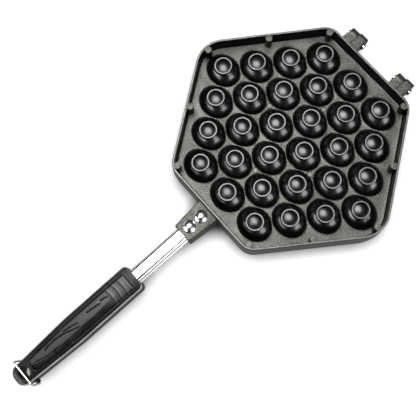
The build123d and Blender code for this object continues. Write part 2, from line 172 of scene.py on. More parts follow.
class HandleSizes(bpy.types.PropertyGroup):
    """Sizes of the handle tubes, rivets, burrs, grips and grip screws."""

    tube_wall: length("Tube wall", "Wall of the handle tube", 1.0)
    shoulder: length("Tube shoulders", "Tube's top corners", 3.4)
    foot: length("Tube feet", "Tube's bottom corners", 1.5)
    rivet_diameter: length("Rivet", "Rivet's shank", 4.0)
    rivet_rim: length("Rivet rim", "Straight edge under the rivet's dome", 0.4)
    tail_diameter: length("Rivet tail", "Closed end of the rivet", 6.4)
    tail_height: length("Rivet tail height", "Closed end under the burr", 1.1)
    grip_straight: length("Straight stretch", "Grip's head to where it narrows", 66.0)
    tail_width: length("Tail width", "Grip at its tail", 17.2)
    head_radius: length("Head radius", "Grip's corners at its head", 4.0)
    waist_radius: length("Waist radius", "Grip's sides where it narrows", 120.0)
    tail_radius: length("Tail radius", "Grip's corners at its tail", 7.5)
    edge_bevel: length("Grip bevel", "Bevel along the grip's top edge", 0.95)
    edge_round: length("Grip edges", "Edges of the bevel", 0.35)
    crown: length("Crown", "Grip's middle above its top edges", 1.1)
    hole_diameter: length("Hanging hole", "Hole through both tails", 9.0)
    hole_from_tail: length("Hole place", "Hole's centre to the grip's tail", 10.0)
    panel_start: length("Panel start", "Grip's head to the sunk panel", 6.5)
    panel_length: length("Panel length", "Sunk panel along the grip", 101.0)
    panel_border: length("Panel border", "Raised border beside the panel", 3.6)
    panel_depth: length("Panel depth", "Panel below its border", 0.6)
    panel_radius: length("Panel corners", "Corners of the sunk panel", 3.0)
    panel_fall: share("Panel's fall", "Slope of the panel beyond its grain", 0.15)
    rib_height: length("Rib height", "Ribs above the panel's floor", 0.32)
    groove_depth: length("Groove depth", "Grain grooves in the panel", 0.4)
    groove_width: length("Groove width", "Half of a grain groove", 0.36)
    screw_shank: length("Screw", "Grip screw's shank", 2.9)
    screw_head: length("Screw head height", "Grip screw's head", 1.2)
    recess_gap: length("Recess gap", "Round the screw's head", 0.3)


class HingeAndLoopSizes(bpy.types.PropertyGroup):
    """Sizes of the hinge pins, their washers, and the wire loop with its ears."""

    pin_diameter: length("Pin", "Hinge pin's shank", 4.0)
    pin_head: length("Pin head", "Hinge pin's head", 5.6)
    pin_tail: length("Pin tail", "Hinge pin's peened end", 5.2)
    head_height: length("Pin head height", "Hinge pin's head", 1.8)
    tail_height: length("Pin tail height", "Peened end past the washer", 0.9)
    washer_diameter: length("Washer", "Washer under the peened end", 7.0)
    washer_thickness: length("Washer thickness", "Washer under the peened end", 0.6)
    wire: length("Wire", "Locking loop's wire", 1.7)
    top_bend: length("Loop's top bends", "Bends beside the crossbar", 2.6)
    end_bend: length("Loop's end bends", "Bends at the turned-in ends", 1.5)
    turned_in: length("Turned-in ends", "Middle of the leg to the wire's end", 4.0)
    ear_diameter: length("Ear", "Boss round each pivot", 4.1)
    ear_face: length("Ear face", "Middle to the boss's face", 11.1)
    swing_gap: length("Swing gap", "Wire to the upper grip's tail as it swings", 0.35)


class Finishes(bpy.types.PropertyGroup):
    """Colours and roughness of the finishes."""

    cast_floor: colour("Coated floor", "Grainy grey coat between the bumps", (0.105, 0.105, 0.096))
    cast_gloss: colour("Coated bumps", "Smooth glossy coat", (0.002, 0.002, 0.002))
    bare_metal: colour("Worn edges", "Metal where the coat is thin", (0.30, 0.30, 0.29))
    floor_roughness: share("Floor roughness", "Grainy coat", 0.42)
    gloss_roughness: share("Bump roughness", "Smooth coat", 0.26)
    chrome: colour("Chrome", "Tubes and rivets", (0.86, 0.86, 0.87))
    steel: colour("Steel", "Pins, burrs, washers and screws", (0.55, 0.55, 0.54))
    wire: colour("Wire", "Locking loop", (0.80, 0.78, 0.73))
    plastic: colour("Plastic", "Grips", (0.004, 0.004, 0.003))
    # Painted highlight: light grey painted on the grips' bevels for the light they catch.
    highlight_grey: colour("Rubbed plastic", "Bevel along the grips", (0.42, 0.42, 0.40))
    plastic_roughness: share("Plastic roughness", "Grips", 0.3)
    ground: colour("Ground", "Floor that the pan lies on", (0.22, 0.22, 0.22))


class StageSettings(bpy.types.PropertyGroup):
    """Camera and lamps."""

    camera_place: bpy.props.FloatVectorProperty(
        name="Camera place",
        description="Where the photograph was taken from",
        default=(-40.84 * MM, -83.70 * MM, 558.22 * MM),
        subtype="TRANSLATION",
        unit="LENGTH",
    )
    camera_turn: bpy.props.FloatVectorProperty(
        name="Camera turn",
        description="Camera's turn about X, Y and Z",
        default=(radians(9.9125), radians(2.4955), radians(-41.6321)),
        subtype="EULER",
    )
    lens: bpy.props.FloatProperty(
        name="Lens", description="Focal length on a 36 mm sensor, in millimetres", default=57.32
    )
    overhead_softbox: power("Overhead lamp", "Large round softbox overhead", 11.5)
    right_softbox: power("Right lamp", "Low softbox on the right", 11.0)
    left_panel: power("Left lamp", "Wide panel on the left", 9.0)
    back_panel: power("Back lamp", "Low panel beyond the pan", 0.7)
    front_card: power("Front card", "Dim card in front of the grips", 0.5)
    ceiling_strip: power("Ceiling strip", "Dim strip over the handle", 4.2)


class WafflePan(bpy.types.PropertyGroup):
    """Everything about the pan that can be set."""

    pan: bpy.props.PointerProperty(type=PanSizes, name="Pan", description="Cast halves")
    lugs: bpy.props.PointerProperty(type=LugSizes, name="Lugs", description="Handle and hinge lugs")
    handle: bpy.props.PointerProperty(type=HandleSizes, name="Handle", description="Tubes and grips")
    hinge: bpy.props.PointerProperty(
        type=HingeAndLoopSizes, name="Hinge and loop", description="Pins and locking loop"
    )
    finish: bpy.props.PointerProperty(type=Finishes, name="Finishes", description="Colours")
    stage: bpy.props.PointerProperty(type=StageSettings, name="Stage", description="Camera and lamps")


# ---- From arrays of points to a piece -------------------------------------------------------------
class Surface:
    """Points and faces gathered from grids and caps; equal points are welded when it becomes a mesh."""

    def __init__(self):
        self.points, self.gloss, self.worn, self.faces = [], [], [], []

    def keep(self, points, gloss, worn):
        """Add the points with their marks and return the number of the first."""
        first = sum(map(len, self.points))
        shape = points.shape[:-1]
        self.points.append(points.reshape(-1, 3))
        self.gloss.append(np.broadcast_to(gloss, shape).ravel())
        self.worn.append(np.broadcast_to(worn, shape).ravel())
        return first

    def grid(self, points, closed=True, gloss=0.0, worn=0.0):
        """Faces between neighbours of a rows x columns grid; they point to row step x column step."""
        rows, columns = points.shape[:2]
        number = self.keep(points, gloss, worn) + np.arange(rows * columns).reshape(rows, columns)
        if closed:
            number = np.concatenate((number, number[:, :1]), axis=1)
        quads = np.stack((number[:-1, :-1], number[1:, :-1], number[1:, 1:], number[:-1, 1:]), axis=-1)
        self.faces += quads.reshape(-1, 4).tolist()
        return self

    def cap(self, ring):
        """One flat face over a ring of points, pointing to where the ring runs anticlockwise."""
        first = self.keep(ring, 0.0, 0.0)
        self.faces.append(list(range(first, first + len(ring))))
        return self


def spread(*columns):
    """Arrays that fit each other, stacked into points."""
    return np.stack(np.broadcast_arrays(*columns), axis=-1)


def from_half(points, half):
    """Half coordinates to the row frame: the lower half is turned over about X (y, z to -y, -z)."""
    turn = np.array((1, 1, 1) if half == "upper" else (1, -1, -1))
    return points * turn + np.array((pattern_x(), 0, parting))


def put_in_scene(name, data):
    """A new object in the scene."""
    made = bpy.data.objects.new(name, data)
    bpy.context.scene.collection.objects.link(made)
    return made


def dress(node, part, surface, material, half=None, body=None):
    """Make the surface a piece with welded points, which rides on its body and replaces its node."""
    points = np.concatenate(surface.points)
    if half:
        points = from_half(points, half)
    mesh = bpy.data.meshes.new(f"{node}_{part}")
    mesh.from_pydata(points.tolist(), [], surface.faces)
    # Of the two marks, the second is rubbed bare metal on the castings and a painted highlight on the
    # grips' bevels.
    for mark, values in (("gloss", surface.gloss), ("worn", surface.worn)):
        layer = mesh.attributes.new(mark, "FLOAT", "POINT")
        layer.data.foreach_set("value", np.concatenate(values).astype(np.float32))
    welded = bmesh.new()
    welded.from_mesh(mesh)
    bmesh.ops.remove_doubles(welded, verts=welded.verts, dist=WELD)
    welded.to_mesh(mesh)
    welded.free()
    mesh.shade_smooth()
    mesh.set_sharp_from_angle(angle=SHARP_EDGE)
    mesh.materials.append(material)
    piece = put_in_scene(mesh.name, mesh)
    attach(piece, body or f"{half}_half")
    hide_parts(node)


def sizes():
    """The scene's waffle pan settings."""
    return bpy.context.scene.waffle_pan


# ---- Lines and outlines ---------------------------------------------------------------------------
def unit(vectors):
    """Vectors at length 1."""
    return vectors / np.linalg.norm(vectors, axis=-1, keepdims=True)


def side_of(vectors):
    """Each flat vector turned a quarter clockwise: the outward side of an anticlockwise line."""
    return np.stack((vectors[..., 1], -vectors[..., 0]), axis=-1)


def rounded(corners, radii, steps=6, closed=True):
    """Points and outward normals along a line whose corners are arcs.

    Each corner turns by t. Its arc starts radius x tan(t / 2) before the corner, and a share s of
    it is the start's spoke turned by s x t about the arc's centre.
    """
    corners = np.asarray(corners, float)
    radii = np.broadcast_to(np.asarray(radii, float), len(corners))
    into = corners - np.roll(corners, 1, axis=0)
    out = np.roll(corners, -1, axis=0) - corners
    if not closed:
        into[0] = out[0]
        out[-1] = into[-1]
    into, out = unit(into), unit(out)
    turn = np.arctan2(into[:, 0] * out[:, 1] - into[:, 1] * out[:, 0], (into * out).sum(axis=1))
    start = corners - into * (radii * np.tan(np.abs(turn) / 2))[:, None]
    spoke = side_of(into)
    reach = radii * np.sign(turn)
    centre = start - spoke * reach[:, None]
    angle = turn[:, None] * np.linspace(0, 1, steps + 1)
    normals = spread(
        spoke[:, :1] * np.cos(angle) - spoke[:, 1:] * np.sin(angle),
        spoke[:, :1] * np.sin(angle) + spoke[:, 1:] * np.cos(angle),
    )
    points = centre[:, None] + normals * reach[:, None, None]
    return points.reshape(-1, 2), normals.reshape(-1, 2)


def at_stations(points, normals, stations):
    """Points and normals at these distances along an open line."""
    steps = np.linalg.norm(np.diff(points, axis=0), axis=1)
    along = np.concatenate(((0,), np.cumsum(steps)))
    place = spread(*[np.interp(stations, along, points[:, axis]) for axis in (0, 1)])
    facing = spread(*[np.interp(stations, along, normals[:, axis]) for axis in (0, 1)])
    return place, unit(facing)


def bend(start, corner, end, steps):
    """Rows along a soft corner: (1-t)^2 start + 2t(1-t) corner + t^2 end, each a pair of arrays."""
    t = np.linspace(0, 1, steps + 1)[:, None]
    return [
        (1 - t) ** 2 * a + 2 * t * (1 - t) * b + t**2 * c for a, b, c in zip(start, corner, end)
    ]


def round_over(radius, steps):
    """A rounded edge's distances inside its side, r (1 - sin t), and below its flat, r (1 - cos t)."""
    t = np.linspace(0, pi / 2, steps + 1)
    return radius * (1 - np.sin(t)), radius * (1 - np.cos(t))


def quarter(reach, height, radius, inward, steps=4):
    """Rows over a rounded top edge at `reach`, from its side to its flat, or back if not inward."""
    inside, below = (rows[:, None] for rows in round_over(radius, steps))
    return [reach + below, height - inside] if inward else [reach - inside, height - below]


def joined(blocks, count=1):
    """Blocks of two kinds of rows, such as radii and heights, joined and spread over rays."""
    return [
        np.concatenate([np.broadcast_to(block[kind], (len(block[kind]), count)) for block in blocks])
        for kind in (0, 1)
    ]


# ---- One cast half --------------------------------------------------------------------------------
HALVINGS = 40  # steps in the search for an egg's reach
JOINT_STEP = 0.15 * MM  # width of the side between the joint face and its recess
PAD_DROP, PAD_ROUND = 0.06 * MM, 0.4 * MM  # pads below the rim's top, and their edges
RING_WEAR, WEAR_DEPTH = 0.32, 0.18 * MM  # bare metal on the foot rings' tops, and its fading below
RIM_WEAR = 0.65  # share of the rim's width that is rubbed to bare metal, from outside
GLOSS_RISE = 0.7 * MM  # the bumps' gloss sets in over this height above the plate
WALL_FOOT = 0.3 * MM  # the pocket's wall is glossy from here above the plate
CAVITY_GLOSS = 0.75


def layout(pan):
    """Egg centres and how far the rim's sides lie from the middle."""
    middle_row = (len(EGGS_IN_ROW) - 1) / 2
    centres = np.array(
        [
            ((row - middle_row) * pan.row_pitch, (place - (count - 1) / 2) * pan.egg_pitch)
            for row, count in enumerate(EGGS_IN_ROW)
            for place in range(count)
        ]
    )
    diagonal = hypot(pan.row_pitch, pan.egg_pitch / 2)
    slant = np.array((pan.egg_pitch / 2, pan.row_pitch)) / diagonal
    end_egg = np.array((middle_row * pan.row_pitch, (EGGS_IN_ROW[-1] - 1) / 2 * pan.egg_pitch))
    return SimpleNamespace(
        centres=centres,
        slant=slant,
        rim_end=end_egg[0] + pan.end_margin,
        rim_side=slant @ end_egg + pan.side_margin,
        height=pan_high.z - parting,
    )


def pattern_x():
    """Where the egg pattern's middle lies in the row frame."""
    return hinge_x - sizes().lugs.reach - layout(sizes().pan).rim_end


def rim_run(plan, pan, start, end, steps):
    """Points and outward normals on the rim's outer top edge, evenly from one place to another.

    A place is (point, normal). Two sides meet in an arc: the normal turns only while the distance
    lies within the arc, and what is left over before and after it runs straight.
    """
    (first, normal_in), (last, normal_out) = start, end
    turn = atan2(
        normal_in[0] * normal_out[1] - normal_in[1] * normal_out[0], float(normal_in @ normal_out)
    )
    if turn < WELD:
        points = first + np.linspace(0, 1, steps + 1)[:, None] * (last - first)
        return points, np.broadcast_to(normal_in, points.shape)
    on_end = max(abs(normal_in[0]), abs(normal_out[0])) > 1 - WELD
    radius = pan.shoulder_radius if on_end else pan.tip_radius
    along_in, along_out = -side_of(normal_in), -side_of(normal_out)
    to_corner = np.linalg.solve(np.stack((along_in, along_out), axis=1), last - first)
    reach = radius * tan(turn / 2)
    before, after = to_corner - reach
    distance = np.linspace(0, before + radius * turn + after, steps + 1)
    angle = atan2(normal_in[1], normal_in[0]) + np.clip((distance - before) / radius, 0, turn)
    normals = spread(np.cos(angle), np.sin(angle))
    centre = first + along_in * before - normal_in * radius
    early = np.minimum(distance - before, 0)[:, None]
    late = np.maximum(distance - before - radius * turn, 0)[:, None]
    return centre + normals * radius + along_in * early + along_out * late, normals


def egg_cell(plan, pan, centre, steps=9):
    """The part of the floor that belongs to one egg, as runs of points with outward normals.

    It is the area nearer to this egg than to any other. Towards neighbours it is a side of a
    hexagon; where neighbours are missing, it runs on to the rim. Normals fade to 0 on the hexagon.
    """
    row, half = pan.row_pitch, pan.egg_pitch / 2
    offsets = np.array(
        ((row, half), (0, 2 * half), (-row, half), (-row, -half), (0, -2 * half), (row, -half))
    )
    near = (row**2 - half**2) / (2 * row)
    far = (row**2 + half**2) / (2 * row)
    corners = centre + np.array(
        ((near, half), (-near, half), (-far, 0), (-near, -half), (near, -half), (far, 0))
    )
    gaps = np.linalg.norm(plan.centres[None] - (centre + offsets)[:, None], axis=2)
    there = gaps.min(axis=1) < WELD

    def at_rim(number):
        """Where the line between this egg and a neighbour meets the rim."""
        middle = centre + offsets[number] / 2
        normal = unit(side_of(offsets[number]))
        normal = normal * np.sign(normal @ middle)
        reach = plan.rim_end if abs(normal[0]) > 1 - WELD else plan.rim_side
        return middle + normal * (reach - middle @ normal), normal

    anchors = []
    for number in range(6):
        after = (number + 1) % 6
        if there[number] and there[after]:
            anchors.append((corners[number], np.zeros(2)))
        elif there[number]:
            anchors.append(at_rim(number))
        elif there[after]:
            anchors.append(at_rim(after))
    runs = []
    missing = 6 - there.sum()
    for start, end in zip(anchors, anchors[1:] + anchors[:1]):
        on_rim = start[1].any() and end[1].any()
        if on_rim:
            points, normals = rim_run(plan, pan, start, end, steps * missing)
        else:
            along = np.linspace(0, 1, steps + 1)[:, None]
            points, normals = (first + along * (last - first) for first, last in zip(start, end))
        runs.append((points, normals, on_rim))
    return runs


def cell_outline(runs, inset):
    """A cell's boundary, `inset` inside the rim's outer top edge where it runs along the rim."""
    return np.concatenate([(points - inset * normals)[:-1] for points, normals, _ in runs])


def egg_height(pan, radius, direction, grow):
    """Height of an egg, grown by `grow`, at a radius along each ray from its middle.

    The egg is an oval of tangent arcs turned about its long axis: at y its own radius is
    sqrt(R^2 - y^2) - c along its sides and sqrt(r^2 - (|y| - e)^2) round its ends, and it stands
    sqrt(radius^2 - x^2) above the axis.
    """
    end = pan.egg_length / 2 - pan.egg_end
    inset = pan.egg_width / 2 - pan.egg_end
    side = (end**2 - inset**2) / (2 * inset)
    side_radius, end_radius = pan.egg_width / 2 + side + grow, pan.egg_end + grow
    x, y = radius * direction[:, 0], np.abs(radius * direction[:, 1])
    along_side = np.sqrt(side_radius**2 - y**2) - side
    round_end = np.sqrt(np.clip(end_radius**2 - (y - end) ** 2, 0, None))
    body = np.where(y < side_radius * end / hypot(end, side), along_side, round_end)
    return pan.egg_depth - pan.egg_width / 2 + np.sqrt(np.clip(body**2 - x**2, 0, None))


def egg_reach(pan, direction, level, grow):
    """Radius along each ray at which an egg falls to a level, found by halving."""
    low = np.zeros(len(direction))
    high = low + pan.egg_length / 2 + grow
    for _ in range(HALVINGS):
        middle = (low + high) / 2
        above = egg_height(pan, middle, direction, grow) > level
        low, high = np.where(above, middle, low), np.where(above, high, middle)
    return high


def bump_rows(pan, plan, direction, reach):
    """Radius, height, gloss and rubbed bare metal of a bump's back, from its crown out to its cell's
    boundary.

    Rows lie at r = w sin f, where w is the bump's widest reach along each ray, and at the egg's
    own height. The foot ring is a straight wall with rounded edges between them.
    """
    top = plan.height - pan.ring_drop
    inner, outer, edge = pan.ring_bore / 2, pan.ring_diameter / 2, pan.ring_round
    middle = pan.egg_depth - pan.egg_width / 2
    widest = egg_reach(pan, direction, middle + WELD, pan.egg_wall)

    def height_at(radius):
        """Height of the bump at a radius along each ray."""
        return egg_height(pan, radius, direction, pan.egg_wall)

    def dome(start, end, steps):
        """Rows along the bump between two radii."""
        angle = np.arcsin(np.array((start, end)) / widest)
        rows = widest * np.sin(angle[0] + np.linspace(0, 1, steps + 1)[:, None] * (angle[1] - angle[0]))
        return [rows, height_at(rows)]

    at_bore = np.full(len(direction), inner - SOFT)
    at_ring = np.full(len(direction), outer + SOFT)
    bore_foot, ring_foot = height_at(inner), height_at(outer)
    foot_top = pan.plate + 1.2 * pan.foot_bend
    over_foot = egg_reach(pan, direction, foot_top, pan.egg_wall)
    foot = egg_reach(pan, direction, pan.plate, pan.egg_wall)
    spill = np.minimum(pan.foot_bend, 0.8 * (reach - foot))
    blocks = [
        dome(0 * widest, at_bore, 6),
        bend((at_bore, height_at(at_bore)), (inner, bore_foot), (inner, bore_foot + SOFT), 2),
        quarter(inner, top, edge, inward=True),
        quarter(outer, top, edge, inward=False),
        bend((outer, ring_foot + SOFT), (outer, ring_foot), (at_ring, height_at(at_ring)), 2),
        dome(at_ring, over_foot, 12),
        bend((over_foot, foot_top), (foot, pan.plate), (foot + spill, pan.plate), 4),
        [reach[None], np.full((1, 1), pan.plate)],
    ]
    radius, height = joined(blocks, len(widest))
    worn = RING_WEAR * np.exp(-(((height - top) / WEAR_DEPTH) ** 2)) * (radius > inner - SOFT)
    gloss = np.clip((height - pan.plate) / GLOSS_RISE, 0, 1)
    return radius, height, gloss, worn


def cavity_rows(pan, direction, reach):
    """Radius and height of a cavity, from its cell's boundary in to its bottom.

    Rows lie at r = w sin f as on a bump, with the lip bent softly into the joint face's recess.
    """
    lip = 0.35 * MM
    widest = egg_reach(pan, direction, pan.egg_depth - pan.egg_width / 2 + WELD, 0)
    mouth = egg_reach(pan, direction, pan.film, 0)
    inside = egg_reach(pan, direction, pan.film + lip, 0)
    rows = widest * np.sin(np.arcsin(inside / widest) * np.linspace(1, 0, 12)[:, None])
    blocks = [
        [reach[None], np.full((1, 1), pan.film)],
        bend((mouth + lip, pan.film), (mouth, pan.film), (inside, pan.film + lip), 3),
        [rows, egg_height(pan, rows, direction, 0)],
    ]
    return joined(blocks, len(widest))


def rays(outline, centre):
    """Each ray's direction and length from a centre to the outline."""
    away = outline - centre
    reach = np.linalg.norm(away, axis=1)
    return away / reach[:, None], reach


def around(centre, direction, radius, height):
    """Points at a radius along each ray from a centre, at a height."""
    flat = centre + radius[..., None] * direction
    return np.concatenate((flat, height[..., None]), axis=-1)


def rim_rows(pan, plan):
    """Inset, height, gloss and rubbed bare metal over the rim, and the insets at which floor and joint
    face meet it.

    The rows run over the pocket's round, inner wall, top, bevel, outer wall and joint face.
    """
    top = plan.height
    wall_foot = pan.rim_wall + (top - pan.plate) * tan(POCKET_DRAFT)
    floor_inset = wall_foot + pan.pocket_round * tan((pi / 2 - POCKET_DRAFT) / 2)
    angle = np.linspace(3 * pi / 2, pi + POCKET_DRAFT, 8)[:, None]
    pocket = [
        floor_inset + pan.pocket_round * np.cos(angle),
        pan.plate + pan.pocket_round * (1 + np.sin(angle)),
    ]
    wall, bevel, seal = pan.rim_wall, pan.rim_bevel, pan.seal
    flat = np.linspace(wall - 2 * SOFT, bevel + 2 * SOFT, 4)[:, None]
    side, under_bevel = -bevel * tan(RIM_DRAFT), top - bevel
    outside = -top * tan(RIM_DRAFT)
    step = seal + JOINT_STEP
    blocks = [
        pocket,
        bend((wall + SOFT * tan(POCKET_DRAFT), top - SOFT), (wall, top), (wall - SOFT, top), 3),
        [flat, np.full((4, 1), top)],
        bend((bevel + SOFT, top), (bevel, top), (bevel - SOFT, top - SOFT), 2),
        bend(
            (side + SOFT, under_bevel + SOFT),
            (side, under_bevel),
            (side - SOFT * tan(RIM_DRAFT), under_bevel - SOFT),
            2,
        ),
        bend((outside, SOFT), (outside, 0), (outside + SOFT, 0), 2),
        bend((seal - SOFT, 0), (seal, 0), (seal, SOFT), 2),
        bend((step, pan.film - SOFT), (step, pan.film), (step + SOFT, pan.film), 2),
    ]
    inset, height = joined(blocks)
    worn = np.clip((RIM_WEAR * wall - inset) / SOFT, 0, 1) * np.clip(1 - (top - height) / SOFT, 0, 1)
    gloss = np.where((inset > wall - SOFT) & (height > pan.plate + WALL_FOOT), 1.0, 0.0)
    return inset, height, gloss, worn, floor_inset, step + SOFT


def casting(pan):
    """One closed surface: thirty bumps, the floor, the rim, the joint face and thirty cavities."""
    plan = layout(pan)
    inset, height, gloss, worn, floor_inset, face_inset = rim_rows(pan, plan)
    surface = Surface()
    border = []
    for centre in plan.centres:
        runs = egg_cell(plan, pan, centre)
        direction, reach = rays(cell_outline(runs, floor_inset), centre)
        radius, level, shine, rubbed = bump_rows(pan, plan, direction, reach)
        surface.grid(around(centre, direction, radius, level), gloss=shine, worn=rubbed)
        direction, reach = rays(cell_outline(runs, face_inset), centre)
        radius, level = cavity_rows(pan, direction, reach)
        surface.grid(around(centre, direction, radius, level), gloss=CAVITY_GLOSS)
        border += [(atan2(centre[1], centre[0]), run[0], run[1]) for run in runs if run[-1]]
    border.sort(key=lambda run: run[0])
    points, normals = (np.concatenate([run[kind][:-1] for run in border]) for kind in (1, 2))
    flat = points - inset[..., None] * normals
    levels = np.broadcast_to(height[..., None], (*flat.shape[:2], 1))
    return surface.grid(np.concatenate((flat, levels), axis=-1), gloss=gloss, worn=worn)


def pad_centres(pan, plan):
    """Pad places along the rim: at each corner and once on each slanted side."""
    slant_x, slant_y = plan.slant
    tip_y = plan.rim_side / slant_y - pan.tip_radius * (1 / slant_y - 1) - pan.pad_inset
    side_y = (plan.rim_side - pan.pad_inset - slant_x * pan.side_pad_x) / slant_y
    corner_y = (plan.rim_side - slant_x * plan.rim_end) / slant_y
    half_turn = sqrt((1 + slant_x) / 2)
    back = pan.shoulder_radius * (1 / half_turn - 1) + pan.pad_inset
    shoulder = (plan.rim_end - back * half_turn, corner_y - back * sqrt(1 - half_turn**2))
    quarter_pads = np.array(((pan.side_pad_x, side_y), shoulder))
    signs = np.array(((1, 1), (-1, 1), (1, -1), (-1, -1)))
    pads = (quarter_pads[:, None] * signs).reshape(-1, 2)
    return np.concatenate((((0, tip_y), (0, -tip_y)), pads))


def turned(profile, centre, steps=48, axis="z"):
    """A profile of (radius, place) rows turned round a vertical or a cross axis through a centre."""
    radius, place = (column[:, None] for column in np.asarray(profile, float).T)
    angle = np.linspace(0, 2 * pi, steps, endpoint=False)
    a, b = radius * np.cos(angle), radius * np.sin(angle)
    points = spread(a, b, place) if axis == "z" else spread(b, place, a)
    return points + np.asarray(centre, float)


def pads(pan):
    """Round pads that stand from the floor to just under the rim's top, with rounded edges."""
    plan = layout(pan)
    top = plan.height - PAD_DROP
    base = pan.plate / 2
    radius, height = quarter(pan.pad_diameter / 2, top, PAD_ROUND, inward=False)
    profile = [(0, top), *zip(radius.ravel(), height.ravel())]
    profile += [(pan.pad_diameter / 2, base), (0, base)]
    surface = Surface()
    for x, y in pad_centres(pan, plan):
        surface.grid(turned(profile, (x, y, 0), steps=28))
    return surface


def arch(corners, radii):
    """An open line over from +y to -y: the corners given for +y and the same for -y."""
    both = [*corners, *[(-y, z) for y, z in corners[::-1]]]
    return rounded(both, [*radii, *radii[::-1]], steps=5, closed=False)[0]


def handle_lug(pan, lug, handle):
    """The lug, carried along X: an arch of (y, z) points outside and the tube's channel inside.

    The outer arch narrows evenly from root to tip. At the tip it is drawn in by r(1 - cos t) while
    it runs back by r(1 - sin t), which rounds the end. Past the tube's end the channel lies flat.
    """
    plan = layout(pan)
    root = pan.rim_wall / 2 - plan.rim_end
    tip = pan_low.x - pattern_x()
    room = 0.1 * MM

    def outer(x, inset):
        """Outside at a place along the lug, drawn in by an inset."""
        along = (x - root) / (tip - root)
        half = (lug.root_width + along * (lug.tip_width - lug.root_width)) / 2 - inset
        high = lug.height - inset
        corners = [(half, LIFT), *[(half - tan(LUG_DRAFT) * z, z) for z in (MM, high)]]
        return arch(corners, (0, 0, lug.edge_round))

    half = (tube_high.y - tube_low.y) / 2 + room
    high = tube_high.z - parting + room
    channel = arch([(half, LIFT), (half, MM), (half, high)], (0, 0, handle.shoulder + room))
    flat = channel * (1, 0) + (0, LIFT)
    channel_end = tip + lug.tube_in_lug + room
    stations = [(root, 0, flat), (channel_end, 0, flat), (channel_end, 0, channel)]
    stations += [(tip + back, inset, channel) for back, inset in zip(*round_over(lug.edge_round, 5))]
    rings = []
    for x, inset, inner in stations:
        section = np.concatenate((outer(x, inset), inner[::-1]))
        rings.append(spread(x, section[:, 0], section[:, 1]))
    face = np.stack((rings[-1][: len(channel)], rings[-1][len(channel) :][::-1]))
    return Surface().grid(np.stack(rings)).grid(face, closed=False)


def prism(surface, outline, normals, start, end, edge):
    """An anticlockwise (x, z) outline carried along Y, with softened edges and flat caps.

    Towards each end the outline is drawn in along its normals by edge (1 - sin t) while it runs on
    by edge (1 - cos t).
    """
    drawn_in, run = round_over(edge, 3)
    inset = np.concatenate((drawn_in, drawn_in[::-1]))
    along = np.concatenate((start + run, end - run[::-1]))
    line = outline - inset[:, None, None] * normals
    rows = spread(line[..., 0], along[:, None], line[..., 1])
    surface.grid(rows).cap(rows[0]).cap(rows[-1][::-1])


def mitre(first, second):
    """How far a corner moves when both of its sides are drawn in evenly: (a + b) / (1 + a.b)."""
    return (first + second) / (1 + first @ second)


def arc(centre, radius, start, end, steps):
    """Points and outward directions on an arc between two angles."""
    angle = np.linspace(start, end, steps + 1)
    outward = spread(np.cos(angle), np.sin(angle))
    return np.asarray(centre) + radius * outward, outward


def hinge_lugs(pan, lug):
    """Two knuckles on arms, and beside each an arm cut back round the other half's knuckle."""
    plan = layout(pan)
    root = plan.rim_end - pan.rim_wall / 2
    axis = plan.rim_end + lug.reach
    radius = lug.knuckle_radius
    top = lug.arm_height
    bottom, bottom_out = arc((axis, 0), radius, -pi, 0, 24)
    over, over_out = rounded(
        ((axis + radius, 0), (axis + radius, top), (root, top)), (0, lug.arm_round, 0), 10, closed=False
    )
    knuckle = np.concatenate((((root, LIFT), (axis - radius, LIFT)), bottom, over))
    knuckle_out = np.concatenate((((0, -1), (0, -1)), bottom_out, over_out))
    sweep = hypot(radius - lug.arm_round, top - lug.arm_round) + lug.arm_round + lug.relief
    low_angle = pi - LIFT / sweep
    high_angle = atan2(top, -sqrt(sweep**2 - top**2))
    hollow, hollow_out = arc((axis, 0), sweep, low_angle, high_angle, 10)
    arm = np.concatenate((((root, LIFT),), hollow, ((root, top),)))
    arm_out = np.concatenate((((0, -1),), -hollow_out, ((0, 1),)))
    arm_out[1] = mitre(arm_out[0], arm_out[1])
    arm_out[-2] = mitre(arm_out[-2], arm_out[-1])
    surface = Surface()
    for middle in (lug.spacing / 2, -lug.spacing / 2):
        gap = lug.knuckle_gap / 2
        prism(surface, knuckle, knuckle_out, middle - lug.width / 2, middle - gap, lug.hinge_round)
        prism(surface, arm, arm_out, middle - gap, middle + lug.width / 2, lug.hinge_round)
    return surface


# ---- Handle tubes, rivets and burrs ---------------------------------------------------------------
def middle_x(low, high):
    """A box's middle along the handle, in half coordinates."""
    return (low.x + high.x) / 2 - pattern_x()


def handle_tube(handle):
    """Outside and inside of the tube, joined round both ends, with softened mouth edges."""
    start, end = (x - pattern_x() for x in (tube_low.x, tube_high.x))
    half, low, high = (tube_high.y - tube_low.y) / 2, tube_low.z - parting, tube_high.z - parting
    wall, edge = handle.tube_wall, 0.2 * MM

    def section(x, inset):
        """The tube's section, flat on top with round shoulders, drawn in by an inset."""
        side, top, base = half - inset, high - inset, low + inset
        corners = ((side, top), (-side, top), (-side, base), (side, base))
        radii = (handle.shoulder - inset,) * 2 + (handle.foot - inset,) * 2
        line = rounded(corners, radii, steps=12)[0]
        return spread(x, line[:, 0], line[:, 1])

    outside = [(end, edge), (end - edge, 0), (start + edge, 0), (start, edge)]
    inside = [(start, wall - edge), (start + edge, wall), (end - edge, wall), (end, wall - edge)]
    return Surface().grid(np.stack([section(*place) for place in outside + inside + outside[:1]]))


def dome_rows(radius, low, high, steps=14):
    """(radius, height) rows of a round cap, from its top to its edge: R = (r^2 + rise^2) / 2 rise."""
    rise = high - low
    sphere = (radius**2 + rise**2) / (2 * rise)
    angle = np.linspace(0, atan2(radius, sphere - rise), steps)
    return list(zip(sphere * np.sin(angle), high - sphere * (1 - np.cos(angle))))


